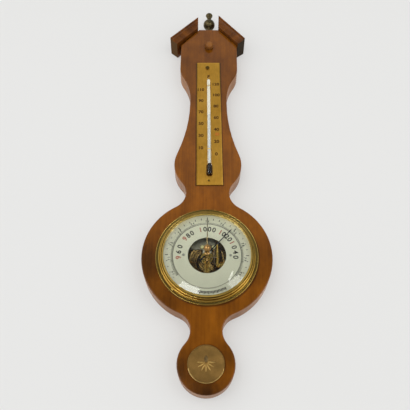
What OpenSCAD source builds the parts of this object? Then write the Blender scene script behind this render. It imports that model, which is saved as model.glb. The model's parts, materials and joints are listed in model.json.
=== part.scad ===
// Banjo-shaped aneroid barometer with a thermometer, seen from the front (-Y).
// Origin: centre of the hanging hole, on the wall plane (Y = 0). +Z is up, +X is the viewer's right.
// Heights of the case are measured from the dial's centre; depths of the works from the case's face.

/* [Case] */
// Thickness of the wooden board
board_t = 20; // [20:1:28]
// Height of the hanging hole above the dial's centre
hang_rise = 285; // [276:1:290]
// Width of the board at the dial
dial_round_w = 134; // [129:0.5:142]
// Radius of the curve at each side of the dial
dial_round_r = 64.7; // [63:0.1:64.8]
// Radius of the small round at the foot
tail_r = 27.1; // [24:0.5:30]
// Distance from the dial's centre down to the foot's centre
tail_drop = 107; // [104:0.5:112]
// Radius of the hollow curve between the dial and the foot
neck_fillet_r = 18; // [15:0.5:20]
// Radius of the hollow curve above the dial
cusp_fillet_r = 20; // [17:0.5:22]
// Width of the hip above the dial
hip_w = 76; // [72:0.2:80]
// Radius of the hip's curve
hip_r = 38.6; // [36:0.2:41]
// Height of the hip above the dial's centre
hip_rise = 112.2; // [109:0.2:114]
// Width of the waist
waist_w = 44.7; // [42:0.1:48]
// Height of the waist's narrowest place
waist_rise = 200; // [190:1:205]
// Length of the straight part of the waist
waist_flat = 8; // [3:1:12]
// Radius of the hollow curve above the waist
chest_fillet_r = 66; // [60:1:68]
// Height where the straight sides of the head begin
side_rise = 259; // [257:1:266]
// Height where the sloping shoulders begin
shoulder_rise = 300; // [296:1:302]
// Width of the head
head_w = 72.8; // [70:0.2:76]
// Height of the flat top
crown_rise = 329; // [326:1:334]
// Width of the flat top
crown_w = 26.4; // [24:0.2:30]
// Radius of the softened front edge
edge_r = 1; // [0.6:0.1:2]

/* [Pediment and finial] */
// Width of the moulding across the slope
pediment_w = 12; // [10:0.2:15]
// How far the moulding's outer edge stands out of the face
pediment_proud = 7.2; // [6:0.2:9]
// How far the left half runs past the lower end of its shoulder
left_over = 5.8; // [4:0.2:8]
// How far the right half runs past the lower end of its shoulder
right_over = 2; // [1.6:0.2:7]
// Distance of the left half's upper end from the middle
left_end = 15; // [12:0.2:17]
// Distance of the right half's upper end from the middle
right_end = 12.6; // [11.6:0.2:17]
// Angle that the left half leans in towards the board
left_lean = 3.2; // [0:0.1:4]
// Radius of the finial's ball
finial_ball_r = 7.8; // [6:0.1:9]
// Height of the finial above the board
finial_h = 41.5; // [39:0.5:48]
// Diameter of the turned wooden button
button_d = 10.8; // [8:0.2:14]
// Height of the button above the dial's centre
button_rise = 296; // [292:1:300]

/* [Thermometer] */
// Width of the brass scale plate
plate_w = 29.5; // [26:0.5:34]
// Length of the scale plate
plate_l = 183.5; // [176:0.5:186]
// Height of the plate's lower edge above the dial's centre
plate_rise = 83.5; // [82.5:0.5:84.5]
// Angle that the plate leans by, its lower end to the right
plate_lean = 0.85; // [0:0.05:1.2]
// Thickness of the plate
plate_t = 1; // [0.8:0.1:1.5]
// Radius of the glass tube
tube_r = 2; // [1.6:0.1:2.4]
// Radius of the bulb
bulb_r = 2.9; // [2.6:0.1:3.1]
// Height of the bulb's lower end
bulb_rise = 95.5; // [94.5:0.5:99]
// Distance from the plate's screw down to the tube's upper end
tube_top_drop = 19.5; // [10:0.5:26]
// Height that the column has risen to
column_rise = 181; // [140:1:210]

/* [Dial and bezel] */
// Width of the brass bezel from its lip to the edge of its flange
bezel_w = 8.2; // [7.8:0.1:10]
// Height of the bezel over the face
bezel_h = 7.6; // [7.4:0.1:9]
// Inner radius of the bezel's lip
sight_r = 44.3; // [43:0.1:44.6]
// Radius of the hole in the middle of the dial
dial_hole_r = 19.6; // [17:0.1:20.5]
// Distance of the two dial screws from the middle
dial_screw_x = 24; // [23:0.2:28]
// Thickness of the dial
dial_t = 0.7; // [0.4:0.1:0.7]
// Thickness of the flat glass
glass_t = 2.6; // [2:0.1:3]
// Thickness left at the edge of the glass, outside the bevel
glass_edge_t = 1.3; // [1:0.1:1.5]
// Width of the bevel ground round the glass
glass_bevel_w = 6.4; // [4:0.2:9]
// Length of the pressure hand from its axis
hand_l = 38; // [30:0.5:39]
// Direction that the pressure hand points in, clockwise from the top
hand_angle = 42; // [-120:1:120]
// Length of the set hand from its axis
set_hand_l = 41; // [34:0.5:41.5]
// Radius of the set hand's knob
knob_r = 3.65; // [3:0.05:4.5]
// Height of the knob's centre over the face
knob_h = 18.5; // [16:0.5:24]

/* [Foot disc] */
// Radius of the brass disc on the foot
disc_r = 17.2; // [14:0.2:20]
// Petals of the palmette on the disc
petals = 7; // [5:2:9]

/* [Movement] */
// Radius of the corrugated capsule
capsule_r = 19.8; // [17:0.2:20.2]
// Thickness of the capsule
capsule_t = 6; // [5:0.1:6]
// Waves on each face of the capsule
capsule_waves = 6; // [4:1:8]
// Thickness of the bent leaf spring
leaf_t = 0.8; // [0.6:0.05:0.8]
// Radius of the arbor where the chain winds
drum_r = 0.6; // [0.5:0.05:0.7]
// Distance from the arbor to the rocking shaft
shaft_x = 11; // [10.5:0.1:13]
// Turns of the hairspring
hair_turns = 4; // [3:1:4]

/* [Hanging] */
// Radius of the hanging hole
hang_r = 4; // [3:0.1:5]
// Width of the slot above the hanging hole
hang_slot_w = 3.6; // [2.5:0.1:4]
// Thickness of the hanging plate
hang_t = 1.2; // [1:0.1:2]

/* [Hidden] */
$fn = 96;

// clearances
slide = 0.05;
loose = 0.2;
wood_gap = 0.3;

// case
dial_z = -hang_rise;
mid_h = -board_t / 2;

// pan and dial, as heights over the face: the board fills h = -board_t to 0
pan_t = 0.8;
pan_recess = 0.8;
pan_in_r = sight_r + 2.2;
pan_out_r = pan_in_r + pan_t;
bezel_r = sight_r + bezel_w;
flange_w = bezel_w * 0.37;
flange_t = 1.1;
pan_lip_r = bezel_r - flange_w;
board_hole_r = pan_out_r + wood_gap;
pan_back = -board_t + pan_recess;
pan_floor = pan_back + pan_t;
dial_r = pan_in_r - loose;
ring_in_r = sight_r + 0.6;
lip_under = 5.95;
glass_r = pan_in_r - 0.3;
ring_top = lip_under - slide - glass_edge_t;
glass_top = ring_top + glass_t;
pin_r = 0.5;
pin_l = 4;
pin_ring_r = pan_lip_r + 1.15;
pin_angles = [87, 207, -30];
hand_t = 0.25;
set_plane = ring_top - 1;
hub_bot = set_plane - 0.2;
hub_top = ring_top - 0.1;
hand_plane = set_plane - 0.7;
stem_hole_r = 1.25;

// movement, stacked up from the pan's floor
base_t = 1.2;
base_r = pan_in_r - 3;
base_screw_r = base_r - 6.5;
base_screws = [for (a = [90, 210, 330]) base_screw_r * [cos(a), sin(a)]];
base_top = pan_floor + base_t;
capsule_y = -1;
capsule_top = base_top + capsule_t;
leaf_bot = capsule_top + 1.6;
leaf_top = leaf_bot + leaf_t;
leaf_x0 = -17;
leaf_x1 = 8.5;
leaf_w = leaf_x1 - leaf_x0;
bend_y = capsule_y + capsule_r + 8.2;
bend_h = (base_top + leaf_top) / 2;
bend_r = (leaf_top - base_top) / 2;
tongue_w = 9;
leaf_edge_y = 10;
post_r = 1.4;
lever_t = 0.6;
lever_top = leaf_top + lever_t;
lever_screws_x = [-5, 6.8];
lever_screw_y = 12.2;
lower_bot = leaf_top + 1.5;
lower_t = 0.7;
lower_top = lower_bot + lower_t;
shaft_h = leaf_top + 1.2;
shaft_r = 0.9;
shaft_y0 = -8;
shaft_y1 = 17;
pivot_r = 0.4;
arm_y = -0.85;
link_y = -6;
link_l = 2.2;
chain_h = lower_top + 2.5;
cock_bot = lower_top + 3.8;
cock_t = 0.9;
cock_top = cock_bot + cock_t;
frame_t = 0.8;
frame_top = leaf_top - 0.9;
frame_x = capsule_r + 5.2;
ear_t = 1;
bridge_y = capsule_y - capsule_r - 4.2;
bridge_x = 3.2;
hub_r = 6.2;
arbor_r = 0.8;
hair_w = 0.18;
hair_pitch = 0.85;
hair_h = 0.8;
hair_r0 = 1.3 + hair_w / 2 + slide;
stud_x = hair_r0 + hair_pitch * hair_turns + hair_w / 2 + slide + 0.5;
screw_y = capsule_y + capsule_r + 5.4;

// thermometer, which leans about the plate's screw
plate_mid = -0.5;
plate_screw_x = -1.2;
plate_screw_rise = plate_rise + plate_l - 9;
plate_nail_x = -0.8;
plate_nail_rise = plate_rise + 5.5;
tube_top_rise = plate_screw_rise - tube_top_drop;
tube_h = plate_t + tube_r + slide;
bulb_l = 14;
bore_r = 0.5;
shell_t = 0.6;
slot_half = bulb_r + 0.6;
slot_low = bulb_rise + slot_half - 1;
slot_high = bulb_rise + bulb_l - slot_half + 2;
staple_rises = [tube_top_rise - 14, bulb_rise + bulb_l + 20];

// back of the board
plate_seat = [24.4, 34.4];
nail_pocket = [13, 20, 8];

// places a child in the face frame: x to the right, y up from the dial's centre, z out of the face
module on_face() {
    translate([0, -board_t, dial_z]) rotate([90, 0, 0]) children();
}

// places a child in the face frame of the leaning scale plate
module on_plate() {
    on_face() translate([plate_mid, plate_screw_rise, 0]) rotate([0, 0, plate_lean])
        translate([0, -plate_screw_rise, 0]) children();
}

// points along an arc, leaving out its first point
function arc(c, r, a0, a1, n) = [for (i = [1:n]) let (a = a0 + (a1 - a0) * i / n) c + r * [cos(a), sin(a)]];

// the meeting point of two circles that lies to the right of the line from p to q
function meet(p, rp, q, rq) =
    let (d = norm(q - p), a = (rp * rp - rq * rq + d * d) / (2 * d), u = (q - p) / d)
    p + a * u + sqrt(rp * rp - a * a) * [u.y, -u.x];

function bearing(from, to) = atan2(to.y - from.y, to.x - from.x);

// right half of the board's outline, from the foot up, drawn with tangent arcs and moved in by d
function half_outline(d) =
    let (
        foot = [0, -tail_drop],
        eye = [dial_round_w / 2 - dial_round_r, 0],
        hip = [hip_w / 2 - hip_r, hip_rise],
        neck = meet(foot, tail_r + neck_fillet_r, eye, dial_round_r + neck_fillet_r),
        cusp = meet(eye, dial_round_r + cusp_fillet_r, hip, hip_r + cusp_fillet_r),
        half_waist = waist_w / 2,
        half_head = head_w / 2,
        half_crown = crown_w / 2,
        reach = half_waist - hip.x,
        waist_r = (pow(waist_rise - hip_rise, 2) + reach * reach - hip_r * hip_r) / (2 * (hip_r - reach)),
        waist = [half_waist + waist_r, waist_rise],
        chest_y = waist_rise + waist_flat,
        chest = [half_waist + chest_fillet_r, chest_y],
        step = chest.x - half_head,
        chest_r = (pow(side_rise - chest_y, 2) + step * step - chest_fillet_r * chest_fillet_r)
            / (2 * (chest_fillet_r - step)),
        breast = [half_head - chest_r, side_rise],
        run = norm([half_crown - half_head, crown_rise - shoulder_rise]),
        ux = (half_crown - half_head) / run,
        uy = (crown_rise - shoulder_rise) / run,
        low = d * (uy - 1) / ux,
        high = -d * (1 + ux) / uy
    )
    concat(
        [[0, -tail_drop - tail_r + d]],
        arc(foot, tail_r - d, -90, bearing(foot, neck), 16),
        arc(neck, neck_fillet_r + d, 180 + bearing(foot, neck), bearing(neck, eye), 10),
        arc(eye, dial_round_r - d, bearing(eye, neck), bearing(eye, cusp), 28),
        arc(cusp, cusp_fillet_r + d, 180 + bearing(eye, cusp), bearing(cusp, hip), 10),
        arc(hip, hip_r - d, bearing(hip, cusp), bearing(hip, waist), 10),
        arc(waist, waist_r + d, 180 + bearing(hip, waist), 180, 6),
        [[half_waist - d, chest_y]],
        arc(chest, chest_fillet_r + d, 180, bearing(chest, breast), 6),
        arc(breast, chest_r - d, bearing(chest, breast) - 180, 0, 6),
        [[half_head - d, shoulder_rise + low * uy + d * ux]],
        [[half_crown + high * ux - d * uy, crown_rise - d]]
    );

function outline(d) =
    let (half = half_outline(d), n = len(half))
    concat(half, [for (i = [n - 1:-1:1]) [-half[i].x, half[i].y]]);

// softened edge: a closed ring with a rounded section, laid along the front of the outline
module edge_ring(steps) {
    round_off = [for (k = [1:steps]) edge_r * [1 - cos(90 * k / steps), sin(90 * k / steps) - 1]];
    section = concat([[edge_r, -edge_r], [0, -edge_r]], round_off);
    m = len(section);
    n = len(outline(0));
    points = [for (s = section) for (p = outline(s.x)) [p.x, p.y, s.y]];
    faces = [
        for (k = [0:m - 1])
        for (i = [0:n - 1])
        let (l = (k + 1) % m, j = (i + 1) % n)
        for (t = [[k * n + i, l * n + i, l * n + j], [k * n + i, l * n + j, k * n + j]])
        t
    ];
    polyhedron(points = points, faces = faces);
}

// a round wire of radius r bent along points in the plane of x and height
module wire(path, r, sides = 8) {
    n = len(path);
    points = [
        for (i = [0:n - 1])
        let (v = path[min(i + 1, n - 1)] - path[max(i - 1, 0)], w = v / norm(v))
        for (k = [0:sides - 1])
        let (a = 360 * k / sides)
        [path[i].x - w.y * r * cos(a), r * sin(a), path[i].y + w.x * r * cos(a)]
    ];
    sides_of = [
        for (i = [0:n - 2])
        for (k = [0:sides - 1])
        let (l = (k + 1) % sides)
        for (t = [[i * sides + k, i * sides + l, (i + 1) * sides + l],
            [i * sides + k, (i + 1) * sides + l, (i + 1) * sides + k]])
        t
    ];
    first = [for (k = [sides - 1:-1:0]) k];
    last = [for (k = [0:sides - 1]) (n - 1) * sides + k];
    polyhedron(points = points, faces = concat([first], sides_of, [last]));
}

// a cylinder between two heights over the face
module disc(x, y, r, h0, h1) {
    translate([x, y, h0]) cylinder(r = r, h = h1 - h0);
}

// a turned screw with a slotted head: the head's underside is at h
module screw(x, y, h, head_r, head_t, shank_r, shank_l, turn = 0) {
    difference() {
        union() {
            disc(x, y, head_r, h, h + head_t);
            disc(x, y, shank_r, h - shank_l, h + 0.1);
        }
        translate([x, y, h + head_t]) rotate([0, 0, turn])
            cube([head_r * 3, head_r * 0.32, head_t], center = true);
    }
}

module case_board() {
    color("sienna") on_face() {
        difference() {
            union() {
                translate([0, 0, -board_t]) linear_extrude(height = board_t - edge_r) polygon(outline(0));
                translate([0, 0, -edge_r - 1]) linear_extrude(height = edge_r + 1) polygon(outline(edge_r));
            }
            disc(0, 0, board_hole_r, -board_t - 1, 1);
            disc(0, button_rise, 3.1, -8.2, 1);
            for (a = pin_angles)
                disc(pin_ring_r * cos(a), pin_ring_r * sin(a), pin_r + slide, -pin_l - 0.2, 1);
            translate([0, crown_rise + 1, mid_h]) rotate([90, 0, 0]) cylinder(r = 2.05, h = 13.2);
            // housing for the hanging plate, with a deeper pocket for the nail's head
            translate([0, hang_rise, -board_t]) cube([plate_seat.x, plate_seat.y, 2 * hang_t], center = true);
            translate([-nail_pocket.x / 2, hang_rise - nail_pocket.x / 2, -board_t - 1]) cube(nail_pocket);
            for (x = [-8, 8]) disc(x, hang_rise - 12, 1.2, -board_t - 1, -board_t + 9.2);
        }
        edge_ring(3);
    }
}

// one half of the broken pediment: a moulding that lies on the right shoulder
module pediment(over, upper_end, lean) {
    slope = bearing([head_w / 2, shoulder_rise], [crown_w / 2, crown_rise]);
    run = norm([head_w / 2 - crown_w / 2, crown_rise - shoulder_rise]);
    steps = 9;
    cove = [for (k = [0:steps]) let (a = 90 * k / steps)
        [-1.6 - (pediment_w - 3.4) * sin(a), 3.9 + (pediment_proud - 4.2) * (1 - cos(a))]];
    difference() {
        translate([crown_w / 2, crown_rise, 0]) rotate([0, 0, slope + lean])
            translate([-run - over, 0, 0]) rotate([90, 0, 90])
            linear_extrude(height = run + over + pediment_w + 6)
            polygon(concat(
                [[0, -board_t], [0, 4.6], [-1.6, 4.6]],
                cove,
                [[1.8 - pediment_w, pediment_proud], [-pediment_w, pediment_proud], [-pediment_w, -board_t]]
            ));
        // the back is planed to the shoulder
        translate([crown_w / 2, crown_rise, -board_t - 1]) rotate([0, 0, slope])
            translate([-2 * run, 0, 0]) cube([3 * run, 10, board_t + 1]);
        translate([upper_end - 100, shoulder_rise - 50, -board_t - 1])
            cube([100, 150, board_t + pediment_proud + 2]);
    }
}

module pediment_right() {
    color("saddlebrown") on_face() pediment(right_over, right_end, 0);
}

module pediment_left() {
    color("saddlebrown") on_face() mirror([1, 0, 0]) pediment(left_over, left_end, left_lean);
}

// turned brass finial with a foot, a ball and a small urn
module finial() {
    ball_y = finial_h / 2;
    lift = sqrt(finial_ball_r * finial_ball_r - 2.4 * 2.4);
    a0 = asin(2.4 / finial_ball_r);
    urn_y = ball_y + lift;
    urn_h = finial_h - urn_y;
    urn_r = 4.7;
    cap_h = 2.2;
    ball = [for (k = [0:12]) let (a = a0 + (180 - 2 * a0) * k / 12)
        [finial_ball_r * sin(a), ball_y - finial_ball_r * cos(a)]];
    cup = [for (k = [1:6]) let (t = k / 6)
        [2.4 + (urn_r - 2.4) * (1 - cos(90 * t)), urn_y + 1.6 + (urn_h - 1.6 - cap_h - 0.2) * t]];
    cap = [for (k = [1:6]) [urn_r * cos(15 * k), finial_h - cap_h * (1 - sin(15 * k))]];
    color("darkgoldenrod") translate([0, mid_h, dial_z + crown_rise]) {
        rotate_extrude() polygon(concat(
            [[0, 0], [5.6, 0], [5.6, 1.4], [4.2, 2.4], [2.6, 3.4], [2.2, 5], [2.2, ball_y - lift - 1]],
            ball,
            [[3, urn_y + 0.6], [2.4, urn_y + 1.6]],
            cup,
            cap
        ));
        translate([0, 0, -12]) cylinder(r = 2, h = 12.5);
    }
}

// turned button with a flattened dome and a dowel
module top_button() {
    r = button_d / 2;
    side_h = 2.6;
    dome_h = 4.4;
    dome = [for (k = [1:9]) [r * pow(cos(10 * k), 0.7), side_h + dome_h * pow(sin(10 * k), 0.7)]];
    color("peru") on_face() translate([0, button_rise, 0]) {
        rotate_extrude() polygon(concat([[0, 0], [r - 0.5, 0], [r, 0.6], [r, side_h]], dome));
        translate([0, 0, -8]) cylinder(r = 3, h = 8.5);
    }
}

// keyhole plate let into the back
module hanging_plate() {
    color("goldenrod") on_face() difference() {
        translate([-12, hang_rise - 17, -board_t]) cube([24, 34, hang_t]);
        disc(0, hang_rise, hang_r, -board_t - 1, 0);
        translate([-hang_slot_w / 2, hang_rise, -board_t - 1]) cube([hang_slot_w, 9, hang_t + 2]);
        disc(0, hang_rise + 9, hang_slot_w / 2, -board_t - 1, 0);
        for (x = [-8, 8]) disc(x, hang_rise - 12, 1.3, -board_t - 1, 0);
    }
}

module hanging_screws() {
    color("goldenrod") on_face() for (x = [-8, 8]) {
        // countersunk heads lie flush with the plate
        difference() {
            disc(x, hang_rise - 12, 1.15, -board_t, -board_t + 9);
            translate([x, hang_rise - 12, -board_t]) cube([3, 0.5, 0.8], center = true);
        }
    }
}

// turned disc with a rim and a palmette of leaf-shaped petals
module foot_disc() {
    petal_l = disc_r * 0.45;
    petal_w = petal_l * 0.26;
    lens_r = (petal_l * petal_l / 4 + petal_w * petal_w / 4) / petal_w;
    color("darkgoldenrod") on_face() translate([0, -tail_drop, 0]) {
        rotate_extrude() polygon([
            [0, 0], [disc_r, 0], [disc_r, 0.5], [disc_r - 0.4, 0.9], [disc_r - 1.2, 0.9],
            [disc_r - 1.6, 0.55], [0, 0.55]
        ]);
        for (k = [0:petals - 1]) {
            a = -180 + 180 * k / (petals - 1);
            translate([0, 1.4, 0.4]) rotate([0, 0, a]) translate([petal_l / 2 + 1, 0, 0])
                linear_extrude(height = 0.7) intersection() {
                    translate([0, lens_r - petal_w / 2]) circle(r = lens_r);
                    translate([0, petal_w / 2 - lens_r]) circle(r = lens_r);
                }
        }
        // bud that the petals spring from
        translate([0, 4.4, 0.4]) linear_extrude(height = 0.7) intersection() {
            translate([2, 0]) circle(r = 3.8);
            translate([-2, 0]) circle(r = 3.8);
        }
    }
}

// brass scale plate with a slot that takes the bulb
module thermometer_plate() {
    color("gold") on_plate() difference() {
        translate([-plate_w / 2, plate_rise, 0]) cube([plate_w, plate_l, plate_t]);
        for (y = [slot_low, slot_high]) disc(0, y, slot_half, -1, plate_t + 1);
        translate([-slot_half, slot_low, -1]) cube([2 * slot_half, slot_high - slot_low, plate_t + 2]);
        disc(plate_screw_x, plate_screw_rise, 1.3, -1, plate_t + 1);
        disc(plate_nail_x, plate_nail_rise, 0.7, -1, plate_t + 1);
        for (y = staple_rises) for (x = [-1, 1]) disc(x * (tube_r + 0.5), y, 0.45, -1, plate_t + 1);
    }
}

// profile of the bulb and tube, moved in by d, from the lower end to the height top
function vessel(d, r, top) =
    let (s = bulb_r - d, c = bulb_rise + bulb_r, e = bulb_rise + bulb_l - 4)
    concat(
        [for (k = [0:6]) [s * sin(15 * k), c - s * cos(15 * k)]],
        [for (k = [0:6]) let (t = k / 6) [r + (s - r) * (1 + cos(180 * t)) / 2, e + 6 * t]],
        [[r, top]]
    );

module thermometer_tube() {
    tip = [[tube_r - 0.8, tube_top_rise], [0, tube_top_rise]];
    bore_end = tube_top_rise - 4;
    color("white") on_plate() translate([0, 0, tube_h]) rotate([-90, 0, 0]) difference() {
        rotate_extrude($fn = 48) polygon(concat(vessel(0, tube_r, tube_top_rise - 1), tip));
        rotate_extrude($fn = 48) polygon(concat(vessel(shell_t, bore_r, bore_end), [[0, bore_end]]));
    }
}

module thermometer_liquid() {
    color("dimgray") on_plate() translate([0, 0, tube_h]) rotate([-90, 0, 0]) rotate_extrude($fn = 48)
        polygon(concat(vessel(shell_t + slide, bore_r - slide, column_rise), [[0, column_rise]]));
}

// wire staples that hold the tube to the plate
module tube_staples() {
    leg_x = tube_r + 0.5;
    bow = [for (k = [0:10]) [leg_x * cos(18 * k), tube_h + leg_x * sin(18 * k)]];
    path = concat([[leg_x, plate_t - 0.5]], bow, [[-leg_x, plate_t - 0.5]]);
    color("goldenrod") on_plate() for (y = staple_rises) translate([0, y, 0]) wire(path, 0.35);
}

module plate_screw() {
    color("goldenrod") on_plate() screw(plate_screw_x, plate_screw_rise, plate_t, 2.5, 1.1, 1.2, plate_t, 35);
}

module plate_nail() {
    color("khaki") on_plate() {
        disc(plate_nail_x, plate_nail_rise, 0.6, 0, plate_t + 0.1);
        disc(plate_nail_x, plate_nail_rise, 1.1, plate_t, plate_t + 0.6);
    }
}

// spun brass bezel: a rolled edge, a flat flange, two beads and an upright lip over the glass
module bezel() {
    crest = [sight_r + 0.45, bezel_h - 0.45];
    upper_bead = [pan_in_r + 0.55, 4.3];
    lower_bead = [pan_lip_r - 0.75, 2.35];
    roll = [bezel_r - 0.4, 0.85];
    color("gold") on_face() difference() {
        rotate_extrude($fn = 192) polygon(concat(
            [[sight_r, lip_under]],
            arc(crest, 0.45, 200, 50, 5),
            arc(upper_bead, 0.75, 130, -20, 5),
            [[pan_in_r + 1.15, 3.2]],
            arc(lower_bead, 0.8, 165, -10, 6),
            [[pan_lip_r + 0.1, flange_t + 0.2], [pan_lip_r + 0.3, flange_t], [roll.x - 0.36, flange_t]],
            arc(roll, 0.4, 140, 0, 4),
            [[bezel_r, 0], [pan_lip_r + 0.2, 0], [pan_lip_r + 0.2, pan_t + slide], [pan_in_r, pan_t + slide],
                [pan_in_r, lip_under]]
        ));
        for (a = pin_angles) disc(pin_ring_r * cos(a), pin_ring_r * sin(a), pin_r + slide, -1, 3);
    }
}

// round-headed pins driven through the flange into the board
module bezel_pins() {
    color("darkgoldenrod") on_face() for (a = pin_angles) {
        disc(pin_ring_r * cos(a), pin_ring_r * sin(a), pin_r, -pin_l, flange_t + 0.1);
        disc(pin_ring_r * cos(a), pin_ring_r * sin(a), 0.8, flange_t + 0.01, flange_t + 0.5);
    }
}

// flat glass with a bevelled border; the knob's stem passes through its middle
module glass() {
    edge_top = lip_under - slide;
    bevel_r = sight_r - 0.1;
    color("lightcyan", 0.4) on_face() rotate_extrude($fn = 192) polygon([
        [stem_hole_r, ring_top], [glass_r, ring_top], [glass_r, edge_top], [bevel_r, edge_top],
        [bevel_r - glass_bevel_w, glass_top], [stem_hole_r, glass_top]
    ]);
}

// brass ring between the dial and the glass
module glass_ring() {
    color("darkgoldenrod") on_face() difference() {
        disc(0, 0, glass_r, 0, ring_top);
        disc(0, 0, ring_in_r, -1, ring_top + 1);
    }
}

module dial() {
    color("gainsboro") on_face() difference() {
        disc(0, 0, dial_r, -dial_t, 0);
        disc(0, 0, dial_hole_r, -dial_t - 1, 1);
        for (x = [-dial_screw_x, dial_screw_x]) disc(x, 0, 0.75, -dial_t - 1, 1);
    }
}

module dial_screws() {
    color("silver") on_face() for (x = [-dial_screw_x, dial_screw_x])
        screw(x, 0, 0, 1.3, 0.45, 0.7, dial_t + 2, 60);
}

// steel drum that holds the works; its lip lies on the board under the bezel
module movement_pan() {
    color("dimgray") on_face() difference() {
        union() {
            disc(0, 0, pan_out_r, pan_back, pan_t);
            disc(0, 0, pan_lip_r, 0, pan_t);
        }
        disc(0, 0, pan_in_r, pan_floor, pan_t + 1);
        disc(0, screw_y, 3.2, pan_back - 1, pan_floor + 1);
        for (p = base_screws) disc(p.x, p.y, 1.25, pan_back - 1, pan_floor + 1);
    }
}

module movement_screws() {
    color("silver") on_face() for (p = base_screws)
        translate([p.x, p.y, pan_back]) mirror([0, 0, 1])
        screw(0, 0, 0, 2.3, 0.7, 1.2, pan_t + base_t, turn = 30);
}

// round plate that carries the works
module base_plate() {
    color("darkkhaki") on_face() difference() {
        disc(0, 0, base_r, pan_floor, base_top);
        disc(0, screw_y, 1.45, pan_floor - 1, base_top + 1);
        for (p = base_screws) disc(p.x, p.y, 1.25, pan_floor - 1, base_top + 1);
    }
}

module dial_pillars() {
    color("darkgoldenrod") on_face() for (x = [-dial_screw_x, dial_screw_x]) difference() {
        disc(x, 0, 1.6, base_top, -dial_t);
        disc(x, 0, 0.75, -dial_t - 2.2, 0);
    }
}

// thin corrugated box: two waved faces that meet in a soldered rim
module capsule() {
    crest = 0.35;
    mid = capsule_t / 2;
    n = capsule_waves * 6;
    inner = 4;
    outer = capsule_r - 1.6;
    wave = [for (k = [0:n]) let (t = k / n)
        [inner + (outer - inner) * t, mid - crest - 0.15 - 0.35 * t + crest * cos(360 * capsule_waves * t)]];
    rim = [[capsule_r - 0.9, 0.5], [capsule_r, 0.5]];
    half = concat([[0, mid], [inner - 0.6, mid]], wave, rim);
    flip = [for (i = [len(half) - 1:-1:0]) [half[i].x, -half[i].y]];
    color("lightgray") on_face() translate([0, capsule_y, base_top + mid])
        rotate_extrude() polygon(concat(half, flip));
}

// post on the capsule's middle, held on the spring by a cross pin
module capsule_post() {
    color("darkgoldenrod") on_face() {
        disc(0, capsule_y, post_r, capsule_top, leaf_top + 0.9);
        translate([-2.6, capsule_y, leaf_top + 0.46]) rotate([0, 90, 0]) cylinder(r = 0.45, h = 5.2);
    }
}

// leaf bent into a C: its foot is screwed down above the capsule, its free limb reaches over the capsule
module main_spring() {
    inner = bend_r - leaf_t;
    color("slategray") on_face() difference() {
        union() {
            translate([leaf_x0, bend_y, bend_h]) rotate([0, 90, 0]) difference() {
                cylinder(r = bend_r, h = leaf_w);
                translate([0, 0, -1]) cylinder(r = inner, h = leaf_w + 2);
                translate([-bend_r - 1, -bend_r - 2, -1]) cube([2 * bend_r + 2, bend_r + 2, leaf_w + 2]);
            }
            translate([leaf_x0, bend_y - 7.4, base_top]) cube([leaf_w, 7.4, leaf_t]);
            translate([leaf_x0, leaf_edge_y, leaf_bot]) cube([leaf_w, bend_y - leaf_edge_y, leaf_t]);
            translate([-tongue_w / 2, capsule_y - 3.4, leaf_bot])
                cube([tongue_w, leaf_edge_y - capsule_y + 3.5, leaf_t]);
        }
        disc(0, capsule_y, post_r + slide, leaf_bot - 1, leaf_top + 1);
        for (x = [leaf_x0 + 4.5, leaf_x1 - 3]) disc(x, bend_y - 3, 1.05, base_top - 1, base_top + 2);
        for (x = lever_screws_x) disc(x, lever_screw_y, 0.85, leaf_bot - 1, leaf_top + 1);
    }
}

module spring_screws() {
    color("silver") on_face() for (x = [leaf_x0 + 4.5, leaf_x1 - 3])
        screw(x, bend_y - 3, base_top + leaf_t, 1.8, 1, 1, leaf_t, 15);
}

// lever that carries the spring's movement to the rocking shaft
module main_lever() {
    arm_x = 6.8;
    color("slategray") on_face() difference() {
        union() {
            translate([-7.3, leaf_edge_y + 0.3, leaf_top]) cube([16.2, 4.2, lever_t]);
            translate([arm_x, link_y - 0.8, leaf_top]) cube([1.5, leaf_edge_y - link_y + 2, lever_t]);
            translate([arm_x, link_y - 0.8, leaf_top]) cube([shaft_x - link_l - arm_x + 0.3, 1.6, lever_t]);
        }
        for (x = lever_screws_x) disc(x, lever_screw_y, 0.85, leaf_top - 1, lever_top + 1);
    }
}

module lever_screws() {
    color("darkkhaki") on_face() for (x = lever_screws_x)
        screw(x, lever_screw_y, lever_top, 1.85, 1, 0.8, lever_t + leaf_t, turn = 50);
}

// shaft with a long arm that pulls the chain and a short arm that the lever moves
module rocking_shaft() {
    color("goldenrod") on_face() translate([shaft_x, 0, shaft_h]) {
        translate([0, shaft_y0, 0]) rotate([-90, 0, 0]) cylinder(r = shaft_r, h = shaft_y1 - shaft_y0);
        translate([0, shaft_y0 - 0.9, 0]) rotate([-90, 0, 0])
            cylinder(r = pivot_r, h = shaft_y1 - shaft_y0 + 1.8);
        translate([0, shaft_y1 - 4.6, 0]) rotate([-90, 0, 0]) cylinder(r = 1.7, h = 4);
        translate([-0.4, arm_y - 0.5, 0]) cube([0.8, 1, chain_h - shaft_h + 0.3]);
        translate([-link_l, link_y - 0.45, -0.35]) cube([link_l, 0.9, 0.7]);
    }
}

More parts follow.
